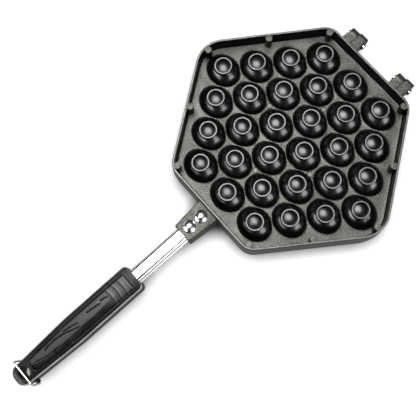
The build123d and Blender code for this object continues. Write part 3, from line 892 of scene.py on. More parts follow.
def rivet(handle, lug, box):
    """A rivet turned about its axis: dome, rim, shank, and the end closed over its burr."""
    low, high = box
    head, shank, tail = (high.x - low.x) / 2, handle.rivet_diameter / 2, handle.tail_diameter / 2
    top, bottom = high.z - parting, low.z - parting
    rim, burr = lug.height + handle.rivet_rim, burr_low.z - parting
    soft = 0.12 * MM
    closed_end = [(radius, -height) for radius, height in dome_rows(tail, -burr, -bottom, 8)]
    profile = dome_rows(head - soft, rim, top)
    profile += [(head, rim - soft), (head, lug.height), (shank, lug.height), (shank, burr)]
    return Surface().grid(turned(profile + closed_end[::-1], (middle_x(low, high), 0, 0)))


def washer(centre, outer, bore, low, high, axis="z"):
    """A flat ring turned about its axis, with a small bevel outside."""
    edge = 0.08 * MM
    profile = [(bore, high), (outer - edge, high), (outer, high - edge), (outer, low + edge)]
    profile += [(outer - edge, low), (bore, low), (bore, high)]
    return Surface().grid(turned(profile, centre, axis=axis))


# ---- Grips ----------------------------------------------------------------------------------------
GRAIN = (  # lines pressed into the grips' panels, as places along and across the handle in mm
    ((-275.0, 0.9), (-264.0, -2.2), (-250.0, -3.0)),
    ((-264.0, 2.2), (-258.0, 3.8), (-250.0, 3.9), (-243.0, 3.0), (-235.0, 0.0), (-228.0, -1.9)),
    ((-244.0, 4.4), (-235.0, 3.5), (-227.0, 1.1)),
    ((-220.0, 3.4), (-211.0, 2.4), (-204.0, 1.4)),
    ((-206.0, 3.5), (-200.0, 2.7), (-196.0, 0.7)),
)
DIVIDE = ((-275.0, 0.9), (-264.0, -2.2), (-250.0, -3.0), (-228.0, -2.2), (-212.0, -3.0), (-197.0, -1.4))
GRIP_HEIGHT = 10.8 * MM  # parting plane to the grip's top
GRIP_GAP = 0.2 * MM  # parting plane to the grip
GRIP_SOFT = 0.4 * MM  # bevel of the grip's lower edges
HOLE_LIP = 0.6 * MM  # rounding of the hanging hole's top edge
BEVEL_HIGHLIGHT = (1.0, 0.3)  # painted highlight of the bevel: on the -y side, which faces the light, and elsewhere
MIRROR = np.array((1, -1))  # turns one side of a grip into the other
PANEL_LIP = 0.08 * MM  # border's swelling beside the panel
PANEL_STEP = 0.6 * MM  # width of the step down to the panel
GROOVE_DEPTH, GROOVE_WIDTH = 0.3 * MM, 0.45 * MM  # groove along the step's foot
RIB_FIRST, RIB_PITCH, RIB_COUNT = 12.2 * MM, 6 * MM, 3  # from the grip's head
RIB_ARC, RIB_WIDTH = 30 * MM, 0.9 * MM
FALL_RISE = 28 * MM  # the panel's fall sets in over this length
SCREW_CELL = 6 * MM  # half of the stretch of underside that has rays round the screw


def smooth_step(values):
    """0 below 0 and 1 above 1, with a soft rise between: 3 v^2 - 2 v^3."""
    clipped = np.clip(values, 0, 1)
    return clipped**2 * (3 - 2 * clipped)


def soft_line(points, x):
    """Height and slope at x of a line through points, averaged over a sliding window."""
    places, heights = np.array(points).T * MM
    fine = np.linspace(places[0], places[-1], 60)
    window = np.hanning(17)[1:-1]
    level = np.interp(fine, places, heights)
    padded = np.pad(level, len(window) // 2, mode="reflect", reflect_type="odd")
    line = np.convolve(padded, window / window.sum(), "valid")
    return np.interp(x, fine, line), np.interp(x, fine, np.gradient(line, fine))


def grain_depth(handle, x, y):
    """Depth of the grain: exp(-(distance to a line / width)^2) of the full depth, faded at both ends."""
    depth = np.zeros(np.broadcast(x, y).shape)
    fade = 3 * MM
    for points in GRAIN:
        middle, slope = soft_line(points, x)
        distance = (y - middle) / np.hypot(1, slope)
        start, end = points[0][0] * MM, points[-1][0] * MM
        there = smooth_step((x - start) / fade) * smooth_step((end - x) / fade)
        depth = np.maximum(depth, there * np.exp(-((distance / handle.groove_width) ** 2)))
    return depth * handle.groove_depth


def grip_line(handle):
    """Half of the grip's outline and its normals, from the middle of its head round to its tail's."""
    head, tail = grip_high.x - pattern_x(), grip_low.x - pattern_x()
    half = (grip_high.y - grip_low.y) / 2
    waist = head - handle.grip_straight
    return rounded(
        ((head, 0), (head, half), (waist, half), (tail, handle.tail_width / 2), (tail, 0)),
        (0, handle.head_radius, handle.waist_radius, handle.tail_radius, 0),
        steps=16,
        closed=False,
    )


def panel_inside(handle, x, y):
    """Distance inside the sunk panel's rounded outline; negative outside it."""
    along = grip_high.x - pattern_x() - x
    length = grip_high.x - grip_low.x
    half = (grip_high.y - grip_low.y) / 2
    slope = (half - handle.tail_width / 2) / (length - handle.grip_straight)
    side = half - np.maximum(along - handle.grip_straight, 0) * slope
    across = side - handle.panel_border - np.abs(y)
    lengthwise = np.minimum(
        along - handle.panel_start, handle.panel_start + handle.panel_length - along
    )
    corner = handle.panel_radius
    round_corner = corner - np.hypot(corner - across, corner - lengthwise)
    near_corner = (across < corner) & (lengthwise < corner)
    return np.where(near_corner, round_corner, np.minimum(across, lengthwise))


def grip_top(handle, x, y, cut):
    """Height of a grip's top: crowned across, with a sunk panel, ribs, grain and the tail's fall.

    Crown: high - crown (y / half)^2. Panel: down by its depth over the step inside its rounded
    outline, with a groove exp(-(distance / width)^2) along it. Ribs: exp(-(distance / width)^4).
    Beyond the dividing line the panel falls further. The upper grip's tail is cut back to the
    circle that the loop's crossbar swings on.
    """
    half = (grip_high.y - grip_low.y) / 2
    along = grip_high.x - pattern_x() - x
    inside = panel_inside(handle, x, y)
    sunk = smooth_step(inside / PANEL_STEP)
    lip = PANEL_LIP * np.exp(-((inside / PANEL_STEP + 1) ** 2))
    from_first = along - RIB_FIRST - (RIB_ARC - np.sqrt(RIB_ARC**2 - y**2))
    ribs = sum(np.exp(-(((from_first - rib * RIB_PITCH) / RIB_WIDTH) ** 4)) for rib in range(RIB_COUNT))
    below = np.maximum(soft_line(DIVIDE, x)[0] - y, 0) * smooth_step(along / FALL_RISE - 0.5)
    groove = GROOVE_DEPTH * np.exp(-(((inside - PANEL_STEP) / GROOVE_WIDTH) ** 2))
    floor = handle.panel_depth - handle.rib_height * ribs + grain_depth(handle, x, y)
    floor += handle.panel_fall * below + groove
    top = GRIP_HEIGHT - PANEL_LIP - handle.crown * (y / half) ** 2 + lip - sunk * floor
    if not cut:
        return top
    pivot_x, _, pivot_z = loop_swing["pos_m"]
    wire = sizes().hinge.wire
    reach = loop_high.z - pivot_z - wire - sizes().hinge.swing_gap
    from_pivot = x + pattern_x() - pivot_x
    swing = pivot_z - parting + np.sqrt(np.maximum(reach**2 - from_pivot**2, 0))
    past = smooth_step((-0.4 * wire - from_pivot) / PANEL_STEP)
    return np.minimum(top, swing * past + top * (1 - past))


def grip_plan(handle):
    """What a grip's parts share: the hanging hole's place and the outline with its outward sides.

    The outline runs in `rows` steps down the +y side to a line beside the hole, in twice
    `tail_steps` round the tail, back up the -y side, and in `columns` across the head.
    """
    columns, rows, tail_steps = 44, 200, 30
    line, normals = grip_line(handle)
    head, tail = grip_high.x - pattern_x(), grip_low.x - pattern_x()
    hole = np.array((tail + handle.hole_from_tail, 0))
    steps = np.linalg.norm(np.diff(line, axis=0), axis=1)
    head_half = (grip_high.y - grip_low.y) / 2 - handle.head_radius
    split_x = hole[0] + handle.hole_diameter / 2 + 2 * MM
    split = np.interp(-split_x, -line[1:, 0], np.cumsum(steps))
    side, side_out = at_stations(line, normals, np.linspace(head_half, split, rows + 1))
    end, end_out = at_stations(line, normals, np.linspace(split, steps.sum(), tail_steps + 1))
    across = np.linspace(-1, 1, columns + 1)

    def whole(side, end, front):
        """One closed line from half a grip's side and end, their mirror images, and its front."""
        back = [(part * MIRROR)[:0:-1] for part in (end, side)]
        return np.concatenate((side[:-1], end[:-1], *back, front))

    outline = whole(side, end, spread(head, head_half * across)[:-1])
    outward = whole(side_out, end_out, np.broadcast_to((1.0, 0.0), (columns, 2)))
    return SimpleNamespace(
        hole=hole, outline=outline, outward=outward, across=across, rows=rows, tail_steps=tail_steps
    )


def round_tail(plan, ring):
    """The part of a ring round the tail, closed by the line across the grip beside the hole."""
    tail_part = ring[plan.rows : plan.rows + 2 * plan.tail_steps + 1]
    beside = spread(tail_part[0, 0], tail_part[0, 1] * plan.across)
    return np.concatenate((tail_part[:-1], beside[:-1]))


def grip_edge(handle, plan, top):
    """Rows round a grip's edge, in over the top's bevel, down the side and under, with the painted
    highlight on their bevel.
    """
    bevel = handle.edge_bevel
    corners = ((0, -2 * bevel), (0, -bevel), (bevel, 0), (2 * bevel, 0))
    radii = (0, handle.edge_round, handle.edge_round, 0)
    edge = rounded(corners, radii, steps=4, closed=False)[0][-2:0:-1]
    turn = 0.12 * MM
    under = ((0, GRIP_SOFT), (turn, turn), (GRIP_SOFT, 0))
    rings = [(plan.outline - inset * plan.outward).T for inset, _ in (*edge, *under)]
    levels = [top(*ring) + drop for ring, (_, drop) in zip(rings, edge)]
    levels += [GRIP_GAP + height for _, height in under]
    # Painted highlight: 1 on the bevel and 0 off it and under the grip; the return makes it full on the
    # -y side, which faces the light, and weaker elsewhere.
    off_bevel = edge[:, :1] - edge[:, 1:] - bevel
    edge_highlight = np.concatenate((np.clip(1 - off_bevel / (0.1 * MM), 0, 1), np.zeros((3, 1))))
    rows = np.stack([spread(*ring, level) for ring, level in zip(rings, levels)])
    return rows, edge_highlight * np.where(plan.outward[:, 1] < -0.5, *BEVEL_HIGHLIGHT)


def hanging_hole(handle, plan, top, inner, outer):
    """Rows from the top's inner ring into the hole, through it, and out to the underside's ring."""
    bore = handle.hole_diameter / 2
    direction, reach = rays(round_tail(plan, inner), plan.hole)
    radii = reach + np.linspace(0, 1, 5)[:, None] * (bore + HOLE_LIP - reach)
    spots = plan.hole + radii[..., None] * direction
    heights = top(spots[..., 0], spots[..., 1])
    inside, below = (rows[1:, None] for rows in round_over(HOLE_LIP, 4))
    rows = joined([(radii, heights), (bore + inside, heights[-1] - below)], len(reach))
    top_points = around(plan.hole, direction, *rows)
    direction, reach = rays(round_tail(plan, outer), plan.hole)
    radii = np.stack((0 * reach + bore, 0 * reach + bore + GRIP_SOFT, reach))
    heights = GRIP_GAP + GRIP_SOFT * np.array((1, 0, 0))[:, None] + 0 * radii
    return np.concatenate((top_points, around(plan.hole, direction, radii, heights)))


def underside(surface, handle, plan, outer):
    """A grip's flat underside: a cap on either side of the screw, and rays round its recess."""
    left = outer[: plan.rows + 1]
    right = left * MIRROR
    screw = np.array((middle_x(screw_low, screw_high), 0))
    recess = (screw_high.x - screw_low.x) / 2 + handle.recess_gap
    recess_top = screw_low.z - parting + handle.screw_head
    near, far = (
        int(np.abs(left[:, 0] - screw[0] - offset).argmin()) for offset in (SCREW_CELL, -SCREW_CELL)
    )
    front = spread(left[0, 0], left[0, 1] * plan.across)
    beside_hole = spread(left[-1, 0], left[-1, 1] * plan.across)
    head_part = np.concatenate((left[: near + 1], right[near::-1], front[1:-1]))
    tail_part = np.concatenate((left[far:], beside_hole[-2:0:-1], right[: far - 1 : -1]))
    for part in (head_part, tail_part):
        surface.cap(spread(*part.T, GRIP_GAP)[::-1])
    direction, reach = rays(np.concatenate((left[near : far + 1], right[far : near - 1 : -1])), screw)
    radii = np.stack((reach, 0 * reach + recess, 0 * reach + recess, 0 * reach))
    levels = np.array((GRIP_GAP, GRIP_GAP, recess_top, recess_top))[:, None] + 0 * radii
    surface.grid(around(screw, direction, radii, levels))


def grip(handle, cut):
    """One grip: rows round its edge, a fine grid over its top, its hole and its underside.

    All parts share the points of the outline, drawn in by an inset.
    """
    plan = grip_plan(handle)

    def top(x, y):
        """Height of this grip's top."""
        return grip_top(handle, x, y, cut)

    band, edge_highlight = grip_edge(handle, plan, top)
    surface = Surface().grid(band, worn=edge_highlight)
    inner, outer = band[0, :, :2], band[-1, :, :2]
    x, y = inner[: plan.rows + 1, :1], inner[: plan.rows + 1, 1:] * plan.across
    in_panel = smooth_step(panel_inside(handle, x, y) / MM)
    surface.grid(spread(x, y, top(x, y))[::-1], closed=False, gloss=in_panel[::-1])
    surface.grid(hanging_hole(handle, plan, top, inner, outer)[::-1])
    underside(surface, handle, plan, outer)
    return surface


def ears(hinge):
    """Bosses on the lower grip's sides round the loop's pivots: studs turned about a cross axis."""
    centre = (loop_swing["pos_m"][0] - pattern_x(), 0, parting - loop_swing["pos_m"][2])
    radius, face, edge = hinge.ear_diameter / 2, hinge.ear_face, 0.3 * MM
    root = face - hinge.turned_in
    surface = Surface()
    stud = [(0, face), (radius - edge, face), (radius, face - edge), (radius, root), (0, root)]
    for profile in (stud, [(r, -y) for r, y in stud[::-1]]):
        surface.grid(turned(profile, centre, steps=32, axis="y"))
    return surface


CROSS_DEPTH, CROSS_HALF, CROSS_REACH = 0.7 * MM, 0.62 * MM, 2.0 * MM  # screw's cross recess


def grip_screw(handle):
    """A grip screw: a round head with a cross recess in its face, and its shank.

    The recess is cut where the nearer of |x| and |y| is small, and ends at CROSS_REACH.
    """
    low, high = screw_low.z - parting, screw_high.z - parting
    radius = (screw_high.x - screw_low.x) / 2
    centre = (middle_x(screw_low, screw_high), 0, 0)
    angle = np.linspace(0, 2 * pi, 72, endpoint=False)
    rings = np.append(np.linspace(0, 0.8, 22), (0.93, 1.0))[:, None] * radius
    x, y = rings * np.cos(angle), rings * np.sin(angle)
    arms = smooth_step((CROSS_HALF - np.minimum(np.abs(x), np.abs(y))) / (0.25 * MM))
    cross = arms * smooth_step((CROSS_REACH - rings) / (0.4 * MM))
    edge = 0.18 * MM * smooth_step((rings / radius - 0.9) / 0.1)
    shoulder, shank = low + handle.screw_head, handle.screw_shank / 2
    profile = [(0, high), (shank, high), (shank, shoulder), (radius, shoulder)]
    profile += [(radius, low + edge[-1, 0])]
    face = spread(x, y, low + CROSS_DEPTH * cross + edge) + centre
    return Surface().grid(face[::-1]).grid(turned(profile, centre, steps=72))


# ---- Hinge pins and the locking loop --------------------------------------------------------------
def hinge_pin(hinge, lug, box):
    """A pin turned about the hinge's axis, headed at -y and peened at +y, and its washer."""
    low, high = box
    middle = lug.spacing / 2 if low.y + high.y > 0 else -lug.spacing / 2
    centre = (hinge_x - pattern_x(), 0, 0)
    shank, head, tail = hinge.pin_diameter / 2, hinge.pin_head / 2, hinge.pin_tail / 2
    head_face, tail_face = low.y + hinge.head_height, high.y - hinge.tail_height
    tail_edge, head_edge = round_over(0.4 * MM, 6), round_over(0.6 * MM, 6)
    profile = [(0, high.y), *[(tail - inside, high.y - below) for inside, below in zip(*tail_edge)]]
    profile += [(tail, tail_face), (shank, tail_face), (shank, head_face), (head, head_face)]
    profile += [(head - below, low.y + inside) for inside, below in zip(*head_edge)]
    profile += [(0, low.y)]
    face = middle + lug.width / 2
    outer, thickness = hinge.washer_diameter / 2, hinge.washer_thickness
    ring = washer(centre, outer, shank + FIT, face, face + thickness, "y")
    return Surface().grid(turned(profile, centre, axis="y")), ring


def locking_loop(hinge):
    """Round wire carried along a bent (y, z) line: crossbar, legs and turned-in ends.

    A point is the line's own plus r (normal cos t + X sin t).
    """
    x, _, low = loop_swing["pos_m"]
    radius = hinge.wire / 2
    leg, high = loop_high.y - radius, loop_high.z - radius
    corners = [(leg - hinge.turned_in, low), (leg, low), (leg, high)]
    corners += [(-y, z) for y, z in corners[::-1]]
    ends, tops = hinge.end_bend, hinge.top_bend
    line, normals = rounded(corners, (0, ends, tops, tops, ends, 0), steps=12, closed=False)
    angle = np.linspace(0, 2 * pi, 20, endpoint=False)
    flat = line[:, None] + radius * np.cos(angle)[:, None] * normals[:, None]
    rows = spread(x + radius * np.sin(angle), flat[..., 0], flat[..., 1])
    return Surface().grid(rows).cap(rows[0]).cap(rows[-1][::-1])


# ---- Materials ------------------------------------------------------------------------------------
class Finish:
    """A material and short calls for the nodes that its finish is made of."""

    def __init__(self, name, base, roughness, metallic=0.0, specular=0.5):
        self.material = bpy.data.materials.new(name)
        self.material.use_nodes = True
        self.nodes = self.material.node_tree.nodes
        self.nodes.clear()
        self.shader = self.node("ShaderNodeBsdfPrincipled")
        output = self.node("ShaderNodeOutputMaterial")
        self.join(self.shader.outputs["BSDF"], output.inputs["Surface"])
        self.place = self.node("ShaderNodeTexCoord").outputs["Object"]
        self.put("Base Color", (*base, 1.0))
        self.put("Roughness", roughness)
        self.put("Metallic", metallic)
        self.put("Specular IOR Level", specular)

    def node(self, kind, **settings):
        """A new node with these settings."""
        made = self.nodes.new(kind)
        for name, value in settings.items():
            setattr(made, name, value)
        return made

    def join(self, value, socket):
        """Link a socket, or set a plain number or colour."""
        if isinstance(value, bpy.types.NodeSocket):
            self.material.node_tree.links.new(value, socket)
        else:
            socket.default_value = value

    def put(self, name, value):
        """Give the shader's socket a value or a link."""
        self.join(value, self.shader.inputs[name])

    def math(self, operation, *values, clamp=False):
        """The result of one piece of arithmetic."""
        made = self.node("ShaderNodeMath", operation=operation, use_clamp=clamp)
        for value, socket in zip(values, made.inputs):
            self.join(value, socket)
        return made.outputs[0]

    def times(self, first, *others):
        """The product of all the values."""
        for value in others:
            first = self.math("MULTIPLY", first, value)
        return first

    def attribute(self, name):
        """One of a piece's own marks."""
        return self.node("ShaderNodeAttribute", attribute_name=name).outputs["Fac"]

    def noise(self, scale, detail=3.0, roughness=0.6, stretch=(1, 1, 1)):
        """Noise in Object coordinates, stretched along the axes with a smaller number."""
        mapping = self.node("ShaderNodeMapping")
        self.join(self.place, mapping.inputs["Vector"])
        mapping.inputs["Scale"].default_value = stretch
        made = self.node("ShaderNodeTexNoise")
        self.join(mapping.outputs["Vector"], made.inputs["Vector"])
        made.inputs["Scale"].default_value = scale
        made.inputs["Detail"].default_value = detail
        made.inputs["Roughness"].default_value = roughness
        return made.outputs["Fac"]

    def remap(self, value, low, high, to_low, to_high):
        """A value carried from one range to another, and kept in it."""
        made = self.node("ShaderNodeMapRange")
        for number, socket in zip((value, low, high, to_low, to_high), made.inputs):
            self.join(number, socket)
        return made.outputs["Result"]

    def blend(self, share, first, second):
        """A colour between two."""
        made = self.node("ShaderNodeMix", data_type="RGBA")
        self.join(share, made.inputs["Factor"])
        for value, place in ((first, 6), (second, 7)):
            value = value if isinstance(value, bpy.types.NodeSocket) else (*value, 1.0)
            self.join(value, made.inputs[place])
        return made.outputs[2]

    def levelness(self):
        """1 on level faces and 0 on upright ones."""
        parts = self.node("ShaderNodeSeparateXYZ")
        self.join(self.node("ShaderNodeTexCoord").outputs["Normal"], parts.inputs[0])
        return self.math("ABSOLUTE", parts.outputs["Z"])

    def tinted(self, base, share):
        """A colour multiplied by a number."""
        made = self.node("ShaderNodeMix", data_type="RGBA", blend_type="MULTIPLY")
        for value, place in ((1.0, "Factor"), ((*base, 1.0), 6), (share, 7)):
            self.join(value, made.inputs[place])
        return made.outputs[2]

    def bump(self, height, depth, strength=1.0):
        """Relief of this depth in metres."""
        made = self.node("ShaderNodeBump")
        made.inputs["Strength"].default_value = strength
        made.inputs["Distance"].default_value = depth
        self.join(height, made.inputs["Height"])
        if self.shader.inputs["Normal"].is_linked:
            self.join(self.shader.inputs["Normal"].links[0].from_socket, made.inputs["Normal"])
        self.put("Normal", made.outputs["Normal"])


EJECTOR_MARKS = ((1, 3), (-1, -3), (5, 0), (-5, 0))  # thirds of a row pitch and of an egg pitch


def cast_coat(finish, pan):
    """Non-stick coat: grainy and metallic on the floor, black and glossy on the bumps, edges rubbed to
    bare metal.

    Round ejector marks lie in gaps between the eggs: lighter discs with a dark edge, sunk a little.
    """
    made = Finish("cast_coat", finish.cast_floor, finish.floor_roughness, specular=0.8)
    gloss = made.attribute("gloss")
    grain = made.noise(1000, detail=3.0, roughness=0.7)
    shade = made.math("ADD", grain, made.times(made.noise(45), 0.3))
    speck = made.remap(shade, 0.5, 0.8, 0.2, 1.8)
    level = made.levelness()
    made.put("Specular IOR Level", made.remap(level, 0.4, 0.8, 0.08, 0.9))
    nearest = None
    for half in HALVES:
        for row, column in EJECTOR_MARKS:
            place = (row * pan.row_pitch / 3, column * pan.egg_pitch / 3, pan.plate)
            away = made.node("ShaderNodeVectorMath", operation="DISTANCE")
            made.join(made.place, away.inputs[0])
            made.join(tuple(from_half(np.array(place), half)), away.inputs[1])
            away = away.outputs["Value"]
            nearest = made.math("MINIMUM", nearest, away) if nearest else away
    mark_edge = pan.mark_diameter / 2
    disc = made.remap(nearest, mark_edge - 0.3 * MM, mark_edge, 1.0, 0.0)
    off_edge = made.math("ABSOLUTE", made.math("SUBTRACT", nearest, mark_edge))
    ring = made.remap(off_edge, 0.1 * MM, 0.5 * MM, 0.25, 1.0)
    lighter = made.math("ADD", 1.0, made.times(disc, 0.5))
    # Painted shade: upright faces get down to 0.3 of the coat's colour, so they read darker than level
    # ones.
    lighter = made.times(lighter, ring, made.remap(level, 0.1, 0.9, 0.3, 1.0))
    shaded = made.tinted(finish.cast_floor, made.times(lighter, speck))
    coat = made.blend(gloss, shaded, finish.cast_gloss)
    scuff = made.remap(made.noise(260), 0.4, 0.6, 0.6, 1.0)
    worn = made.math("MULTIPLY", made.attribute("worn"), scuff, clamp=True)
    made.put("Base Color", made.blend(worn, coat, finish.bare_metal))
    made.put("Metallic", made.math("MAXIMUM", worn, made.remap(gloss, 0.1, 0.9, 0.92, 0.0)))
    rough = made.math("SUBTRACT", 1.0, gloss)
    low, high = finish.gloss_roughness - 0.03, finish.gloss_roughness + 0.04
    smooth = made.times(gloss, made.remap(made.noise(90), 0.3, 0.7, low, high))
    low, high = finish.floor_roughness - 0.06, finish.floor_roughness + 0.06
    grainy = made.times(rough, made.remap(grain, 0.3, 0.7, low, high))
    made.put("Roughness", made.math("ADD", smooth, grainy))
    made.bump(made.times(grain, rough), 0.22 * MM)
    made.bump(made.noise(3000, detail=1.0), 0.006 * MM, 0.4)
    made.bump(disc, -0.15 * MM)
    return made.material


def polished(name, base, roughness, depth, stretch):
    """Bright metal with fine drawn lines and small changes of roughness."""
    made = Finish(name, base, roughness, metallic=1.0)
    lines = made.noise(2600, detail=2.0, stretch=stretch)
    made.put("Roughness", made.remap(made.noise(120), 0.35, 0.65, roughness * 0.8, roughness * 1.25))
    made.put("Base Color", made.tinted(base, made.remap(lines, 0.3, 0.7, 0.9, 1.0)))
    made.bump(lines, depth, 0.3)
    return made.material


def grip_plastic(finish):
    """Moulded plastic with a fine texture and rubbed, slightly shinier patches."""
    made = Finish("grip_plastic", finish.plastic, finish.plastic_roughness, specular=0.45)
    texture = made.noise(2200, detail=2.0)
    rubbed = made.noise(60)
    low, high = finish.plastic_roughness - 0.05, finish.plastic_roughness + 0.05
    made.put("Roughness", made.remap(rubbed, 0.35, 0.65, low, high))
    mottled = made.blend(made.remap(texture, 0.4, 0.7, 0.0, 0.3), finish.plastic, (0.012,) * 3)
    shine = made.remap(made.levelness(), 0.3, 0.85, 0.08, 0.3)
    in_panel = made.remap(made.attribute("gloss"), 0, 1, 1, 2.1)
    made.put("Specular IOR Level", made.times(shine, in_panel))
    # Painted highlight: the base colour goes light grey along the bevel, most on the -y side that faces
    # the light.
    painted_bevel_light = made.times(made.attribute("worn"), made.remap(rubbed, 0.3, 0.6, 0.6, 1.0))
    made.put("Base Color", made.blend(painted_bevel_light, mottled, finish.highlight_grey))
    made.bump(texture, 0.03 * MM, 0.5)
    return made.material


def pale_floor(finish):
    """Matt floor that glows white to the camera and in reflections, with soft shadows from the lamps and
    a painted contact shadow near the pan.
    """
    made = Finish("pale_floor", finish.ground, 1.0, specular=0.0)
    ray = made.node("ShaderNodeLightPath").outputs
    mottle = made.remap(made.noise(6), 0.3, 0.7, 0.97, 1.0)
    made.put("Emission Color", (1.0, 1.0, 1.0, 1.0))
    # Painted contact shadow: ambient occlusion within 16 mm takes the floor's glow away under and beside
    # the pan.
    near = made.node("ShaderNodeAmbientOcclusion")
    near.inputs["Distance"].default_value = 0.016
    glow_outside_painted_shadow = made.remap(near.outputs["AO"], 0.35, 0.8, 0.0, 0.85)
    mirrored = made.times(ray["Is Glossy Ray"], 0.4)
    seen = made.math("ADD", ray["Is Camera Ray"], mirrored, clamp=True)
    made.put("Emission Strength", made.times(seen, made.times(mottle, glow_outside_painted_shadow)))
    return made.material


# ---- Operators: one for each group of pieces, and one for the stage -------------------------------
class WAFFLE_OT_castings(bpy.types.Operator):
    """Build both cast halves: plate, rim, bumps, cavities, pads and lugs"""

    bl_idname = "waffle_pan.castings"
    bl_label = "Castings"

    def execute(self, context):
        pan, lug, handle = sizes().pan, sizes().lugs, sizes().handle
        material = cast_coat(sizes().finish, pan)
        shapes = {
            "casting": casting(pan),
            "pads": pads(pan),
            "handle_lug": handle_lug(pan, lug, handle),
            "hinge_lugs": hinge_lugs(pan, lug),
        }
        for half in HALVES:
            for name, shape in shapes.items():
                dress(f"{half}_pan", name, shape, material, half)
        return {"FINISHED"}


class WAFFLE_OT_handles(bpy.types.Operator):
    """Build the handle tubes with their rivets and burrs"""

    bl_idname = "waffle_pan.handles"
    bl_label = "Handles"

    def execute(self, context):
        lug, handle, finish = sizes().lugs, sizes().handle, sizes().finish
        chrome = polished("chrome_tube", finish.chrome, 0.07, depth=0.002 * MM, stretch=(0.02, 1, 1))
        bright = polished("chrome_rivet", finish.chrome, 0.24, depth=0.002 * MM, stretch=(1, 1, 0.2))
        steel = polished("plain_steel", finish.steel, 0.35, depth=0.008 * MM, stretch=(1, 1, 0.1))
        tube = handle_tube(handle)
        outer, bore = (burr_high.x - burr_low.x) / 2, handle.rivet_diameter / 2 + FIT
        low, high = burr_low.z - parting, burr_high.z - parting
        for half in HALVES:
            dress(f"{half}_handle_tube", "shell", tube, chrome, half)
            for place, box in rivet_boxes.items():
                shape = rivet(handle, lug, box)
                dress(f"{half}_rivet_{place}", "turned", shape, bright, half)
                ring = washer((middle_x(*box), 0, 0), outer, bore, low, high)
                dress(f"{half}_burr_{place}", "ring", ring, steel, half)
        return {"FINISHED"}


class WAFFLE_OT_grips(bpy.types.Operator):
    """Build the plastic grips, the ears on the lower one, and the grip screws"""

    bl_idname = "waffle_pan.grips"
    bl_label = "Grips"

    def execute(self, context):
        handle, hinge, finish = sizes().handle, sizes().hinge, sizes().finish
        plastic = grip_plastic(finish)
        steel = polished("screw_steel", finish.steel, 0.3, depth=0.008 * MM, stretch=(1, 1, 0.1))
        screw = grip_screw(handle)
        for half in HALVES:
            shape = grip(handle, cut=half == "upper")
            dress(f"{half}_grip", "moulding", shape, plastic, half)
            dress(f"{half}_grip_screw", "turned", screw, steel, half)
        dress("lower_grip", "ears", ears(hinge), plastic, "lower")
        return {"FINISHED"}


class WAFFLE_OT_hinges(bpy.types.Operator):
    """Build the hinge pins and their washers"""

    bl_idname = "waffle_pan.hinges"
    bl_label = "Hinges"

    def execute(self, context):
        lug, hinge, finish = sizes().lugs, sizes().hinge, sizes().finish
        bright = polished("pin_steel", finish.chrome, 0.16, depth=0.004 * MM, stretch=(1, 0.2, 1))
        steel = polished("washer_steel", finish.steel, 0.35, depth=0.008 * MM, stretch=(1, 0.2, 1))
        for side, box in pin_boxes.items():
            pin, ring = hinge_pin(hinge, lug, box)
            dress(f"{side}_hinge_pin", "turned", pin, bright, "upper", PIN_BODY)
            dress(f"{side}_pin_washer", "ring", ring, steel, "upper", PIN_BODY)
        return {"FINISHED"}


class WAFFLE_OT_loop(bpy.types.Operator):
    """Build the wire loop that locks the grips together"""

    bl_idname = "waffle_pan.loop"
    bl_label = "Locking loop"

    def execute(self, context):
        hinge, finish = sizes().hinge, sizes().finish
        wire = polished("steel_wire", finish.wire, 0.2, depth=0.004 * MM, stretch=(1, 0.1, 0.1))
        dress("locking_loop", "wire", locking_loop(hinge), wire, body="loop")
        return {"FINISHED"}


LAMP_AIM = (0.05, 0.0, 0.0)
LAMPS = (  # name, which its power setting shares, place, point it is turned to, width and height
    ("overhead_softbox", (0.2, 0.28, 1.2), LAMP_AIM, 0.85, 0.85),
    ("right_softbox", (0.28, -1.2, 0.72), LAMP_AIM, 0.95, 0.95),
    ("left_panel", (-1.1, 0.3, 0.66), LAMP_AIM, 1.4, 0.36),
    ("back_panel", (-0.2, 1.4, 0.22), LAMP_AIM, 1.1, 0.25),
    ("front_card", (-0.4, -1.3, 0.55), LAMP_AIM, 1.0, 0.85),
    ("ceiling_strip", (-0.25, 0.3, 1.3), None, 2.2, 0.45),  # straight down
)
FLOOR_REACH = 3.0  # metres from the middle to the floor's sides
FLOOR_DROP = 0.05 * MM  # floor below the pan, so that the two never lie in one plane


def soft_lamp(name, place, aim, width, height, power):
    """An oval lamp at a place, turned to a point, or straight down without one."""
    lamp = bpy.data.lights.new(name, "AREA")
    lamp.shape = "ELLIPSE"
    lamp.size, lamp.size_y, lamp.energy = width, height, power
    made = put_in_scene(name, lamp)
    made.location = place
    if aim:
        made.rotation_euler = (Vector(aim) - Vector(place)).to_track_quat("-Z", "Y").to_euler()
    return made


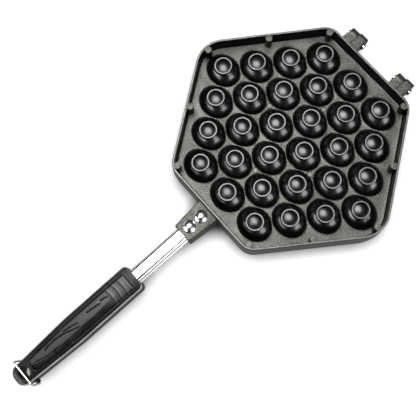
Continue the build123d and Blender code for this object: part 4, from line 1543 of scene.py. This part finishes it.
class WAFFLE_OT_stage(bpy.types.Operator):
    """Set out the floor, lamps, background and the photograph's camera"""

    bl_idname = "waffle_pan.stage"
    bl_label = "Stage"

    def execute(self, context):
        scene, settings = context.scene, sizes().stage
        corners = [(x * FLOOR_REACH, y * FLOOR_REACH) for x, y in ((-1, -1), (1, -1), (1, 1), (-1, 1))]
        mesh = bpy.data.meshes.new("floor")
        mesh.from_pydata([(x, y, -FLOOR_DROP) for x, y in corners], [], [(0, 1, 2, 3)])
        mesh.materials.append(pale_floor(sizes().finish))
        floor = put_in_scene("floor", mesh)
        lamps = [soft_lamp(*lamp, getattr(settings, lamp[0])) for lamp in LAMPS]

        camera = bpy.data.cameras.new("camera")
        camera.lens, camera.sensor_width, camera.clip_start = settings.lens, 36.0, 0.01
        camera.shift_x, camera.shift_y = -0.0014, 0.0005
        view = scene.camera = put_in_scene("camera", camera)
        view.location, view.rotation_euler = settings.camera_place, settings.camera_turn

        world = bpy.data.worlds.new("room")
        world.use_nodes = True
        nodes, links = world.node_tree.nodes, world.node_tree.links
        dim, white = nodes["Background"], nodes.new("ShaderNodeBackground")
        dim.inputs["Color"].default_value = (0.02, 0.02, 0.02, 1)
        white.inputs["Color"].default_value = (1, 1, 1, 1)
        ray, mix = nodes.new("ShaderNodeLightPath"), nodes.new("ShaderNodeMixShader")
        sources = (ray.outputs["Is Camera Ray"], dim.outputs[0], white.outputs[0])
        for source, socket in zip(sources, mix.inputs):
            links.new(source, socket)
        links.new(mix.outputs[0], nodes["World Output"].inputs["Surface"])
        scene.world = world
        scene.view_settings.view_transform = "Standard"
        return {"FINISHED"}


class WAFFLE_PT_panel(bpy.types.Panel):
    """Sizes, finishes and one button for each group of pieces"""

    bl_idname = "WAFFLE_PT_panel"
    bl_label = "Egg Waffle Pan"
    bl_space_type = "VIEW_3D"
    bl_region_type = "UI"
    bl_category = "Waffle Pan"

    def draw(self, context):
        settings = context.scene.waffle_pan
        for operator in OPERATORS:
            self.layout.operator(operator.bl_idname)
        for name in ("pan", "lugs", "handle", "hinge", "finish", "stage"):
            group = getattr(settings, name)
            box = self.layout.box()
            box.label(text=WafflePan.bl_rna.properties[name].name)
            for field in group.__annotations__:
                box.prop(group, field)


GROUPS = (PanSizes, LugSizes, HandleSizes, HingeAndLoopSizes, Finishes, StageSettings, WafflePan)
OPERATORS = (
    WAFFLE_OT_castings,
    WAFFLE_OT_handles,
    WAFFLE_OT_grips,
    WAFFLE_OT_hinges,
    WAFFLE_OT_loop,
    WAFFLE_OT_stage,
)


def register():
    """Register the settings, operators and panel."""
    for group in (*GROUPS, *OPERATORS, WAFFLE_PT_panel):
        bpy.utils.register_class(group)
    bpy.types.Scene.waffle_pan = bpy.props.PointerProperty(
        type=WafflePan, name="Waffle pan", description="Settings of the egg waffle pan"
    )


def unregister():
    """Remove the settings, operators and panel."""
    del bpy.types.Scene.waffle_pan
    for group in (WAFFLE_PT_panel, *OPERATORS[::-1], *GROUPS[::-1]):
        bpy.utils.unregister_class(group)


def main():
    """Build every piece and the stage."""
    register()
    bpy.ops.waffle_pan.castings()
    bpy.ops.waffle_pan.handles()
    bpy.ops.waffle_pan.grips()
    bpy.ops.waffle_pan.hinges()
    bpy.ops.waffle_pan.loop()
    bpy.ops.waffle_pan.stage()


if __name__ == "__main__":
    main()
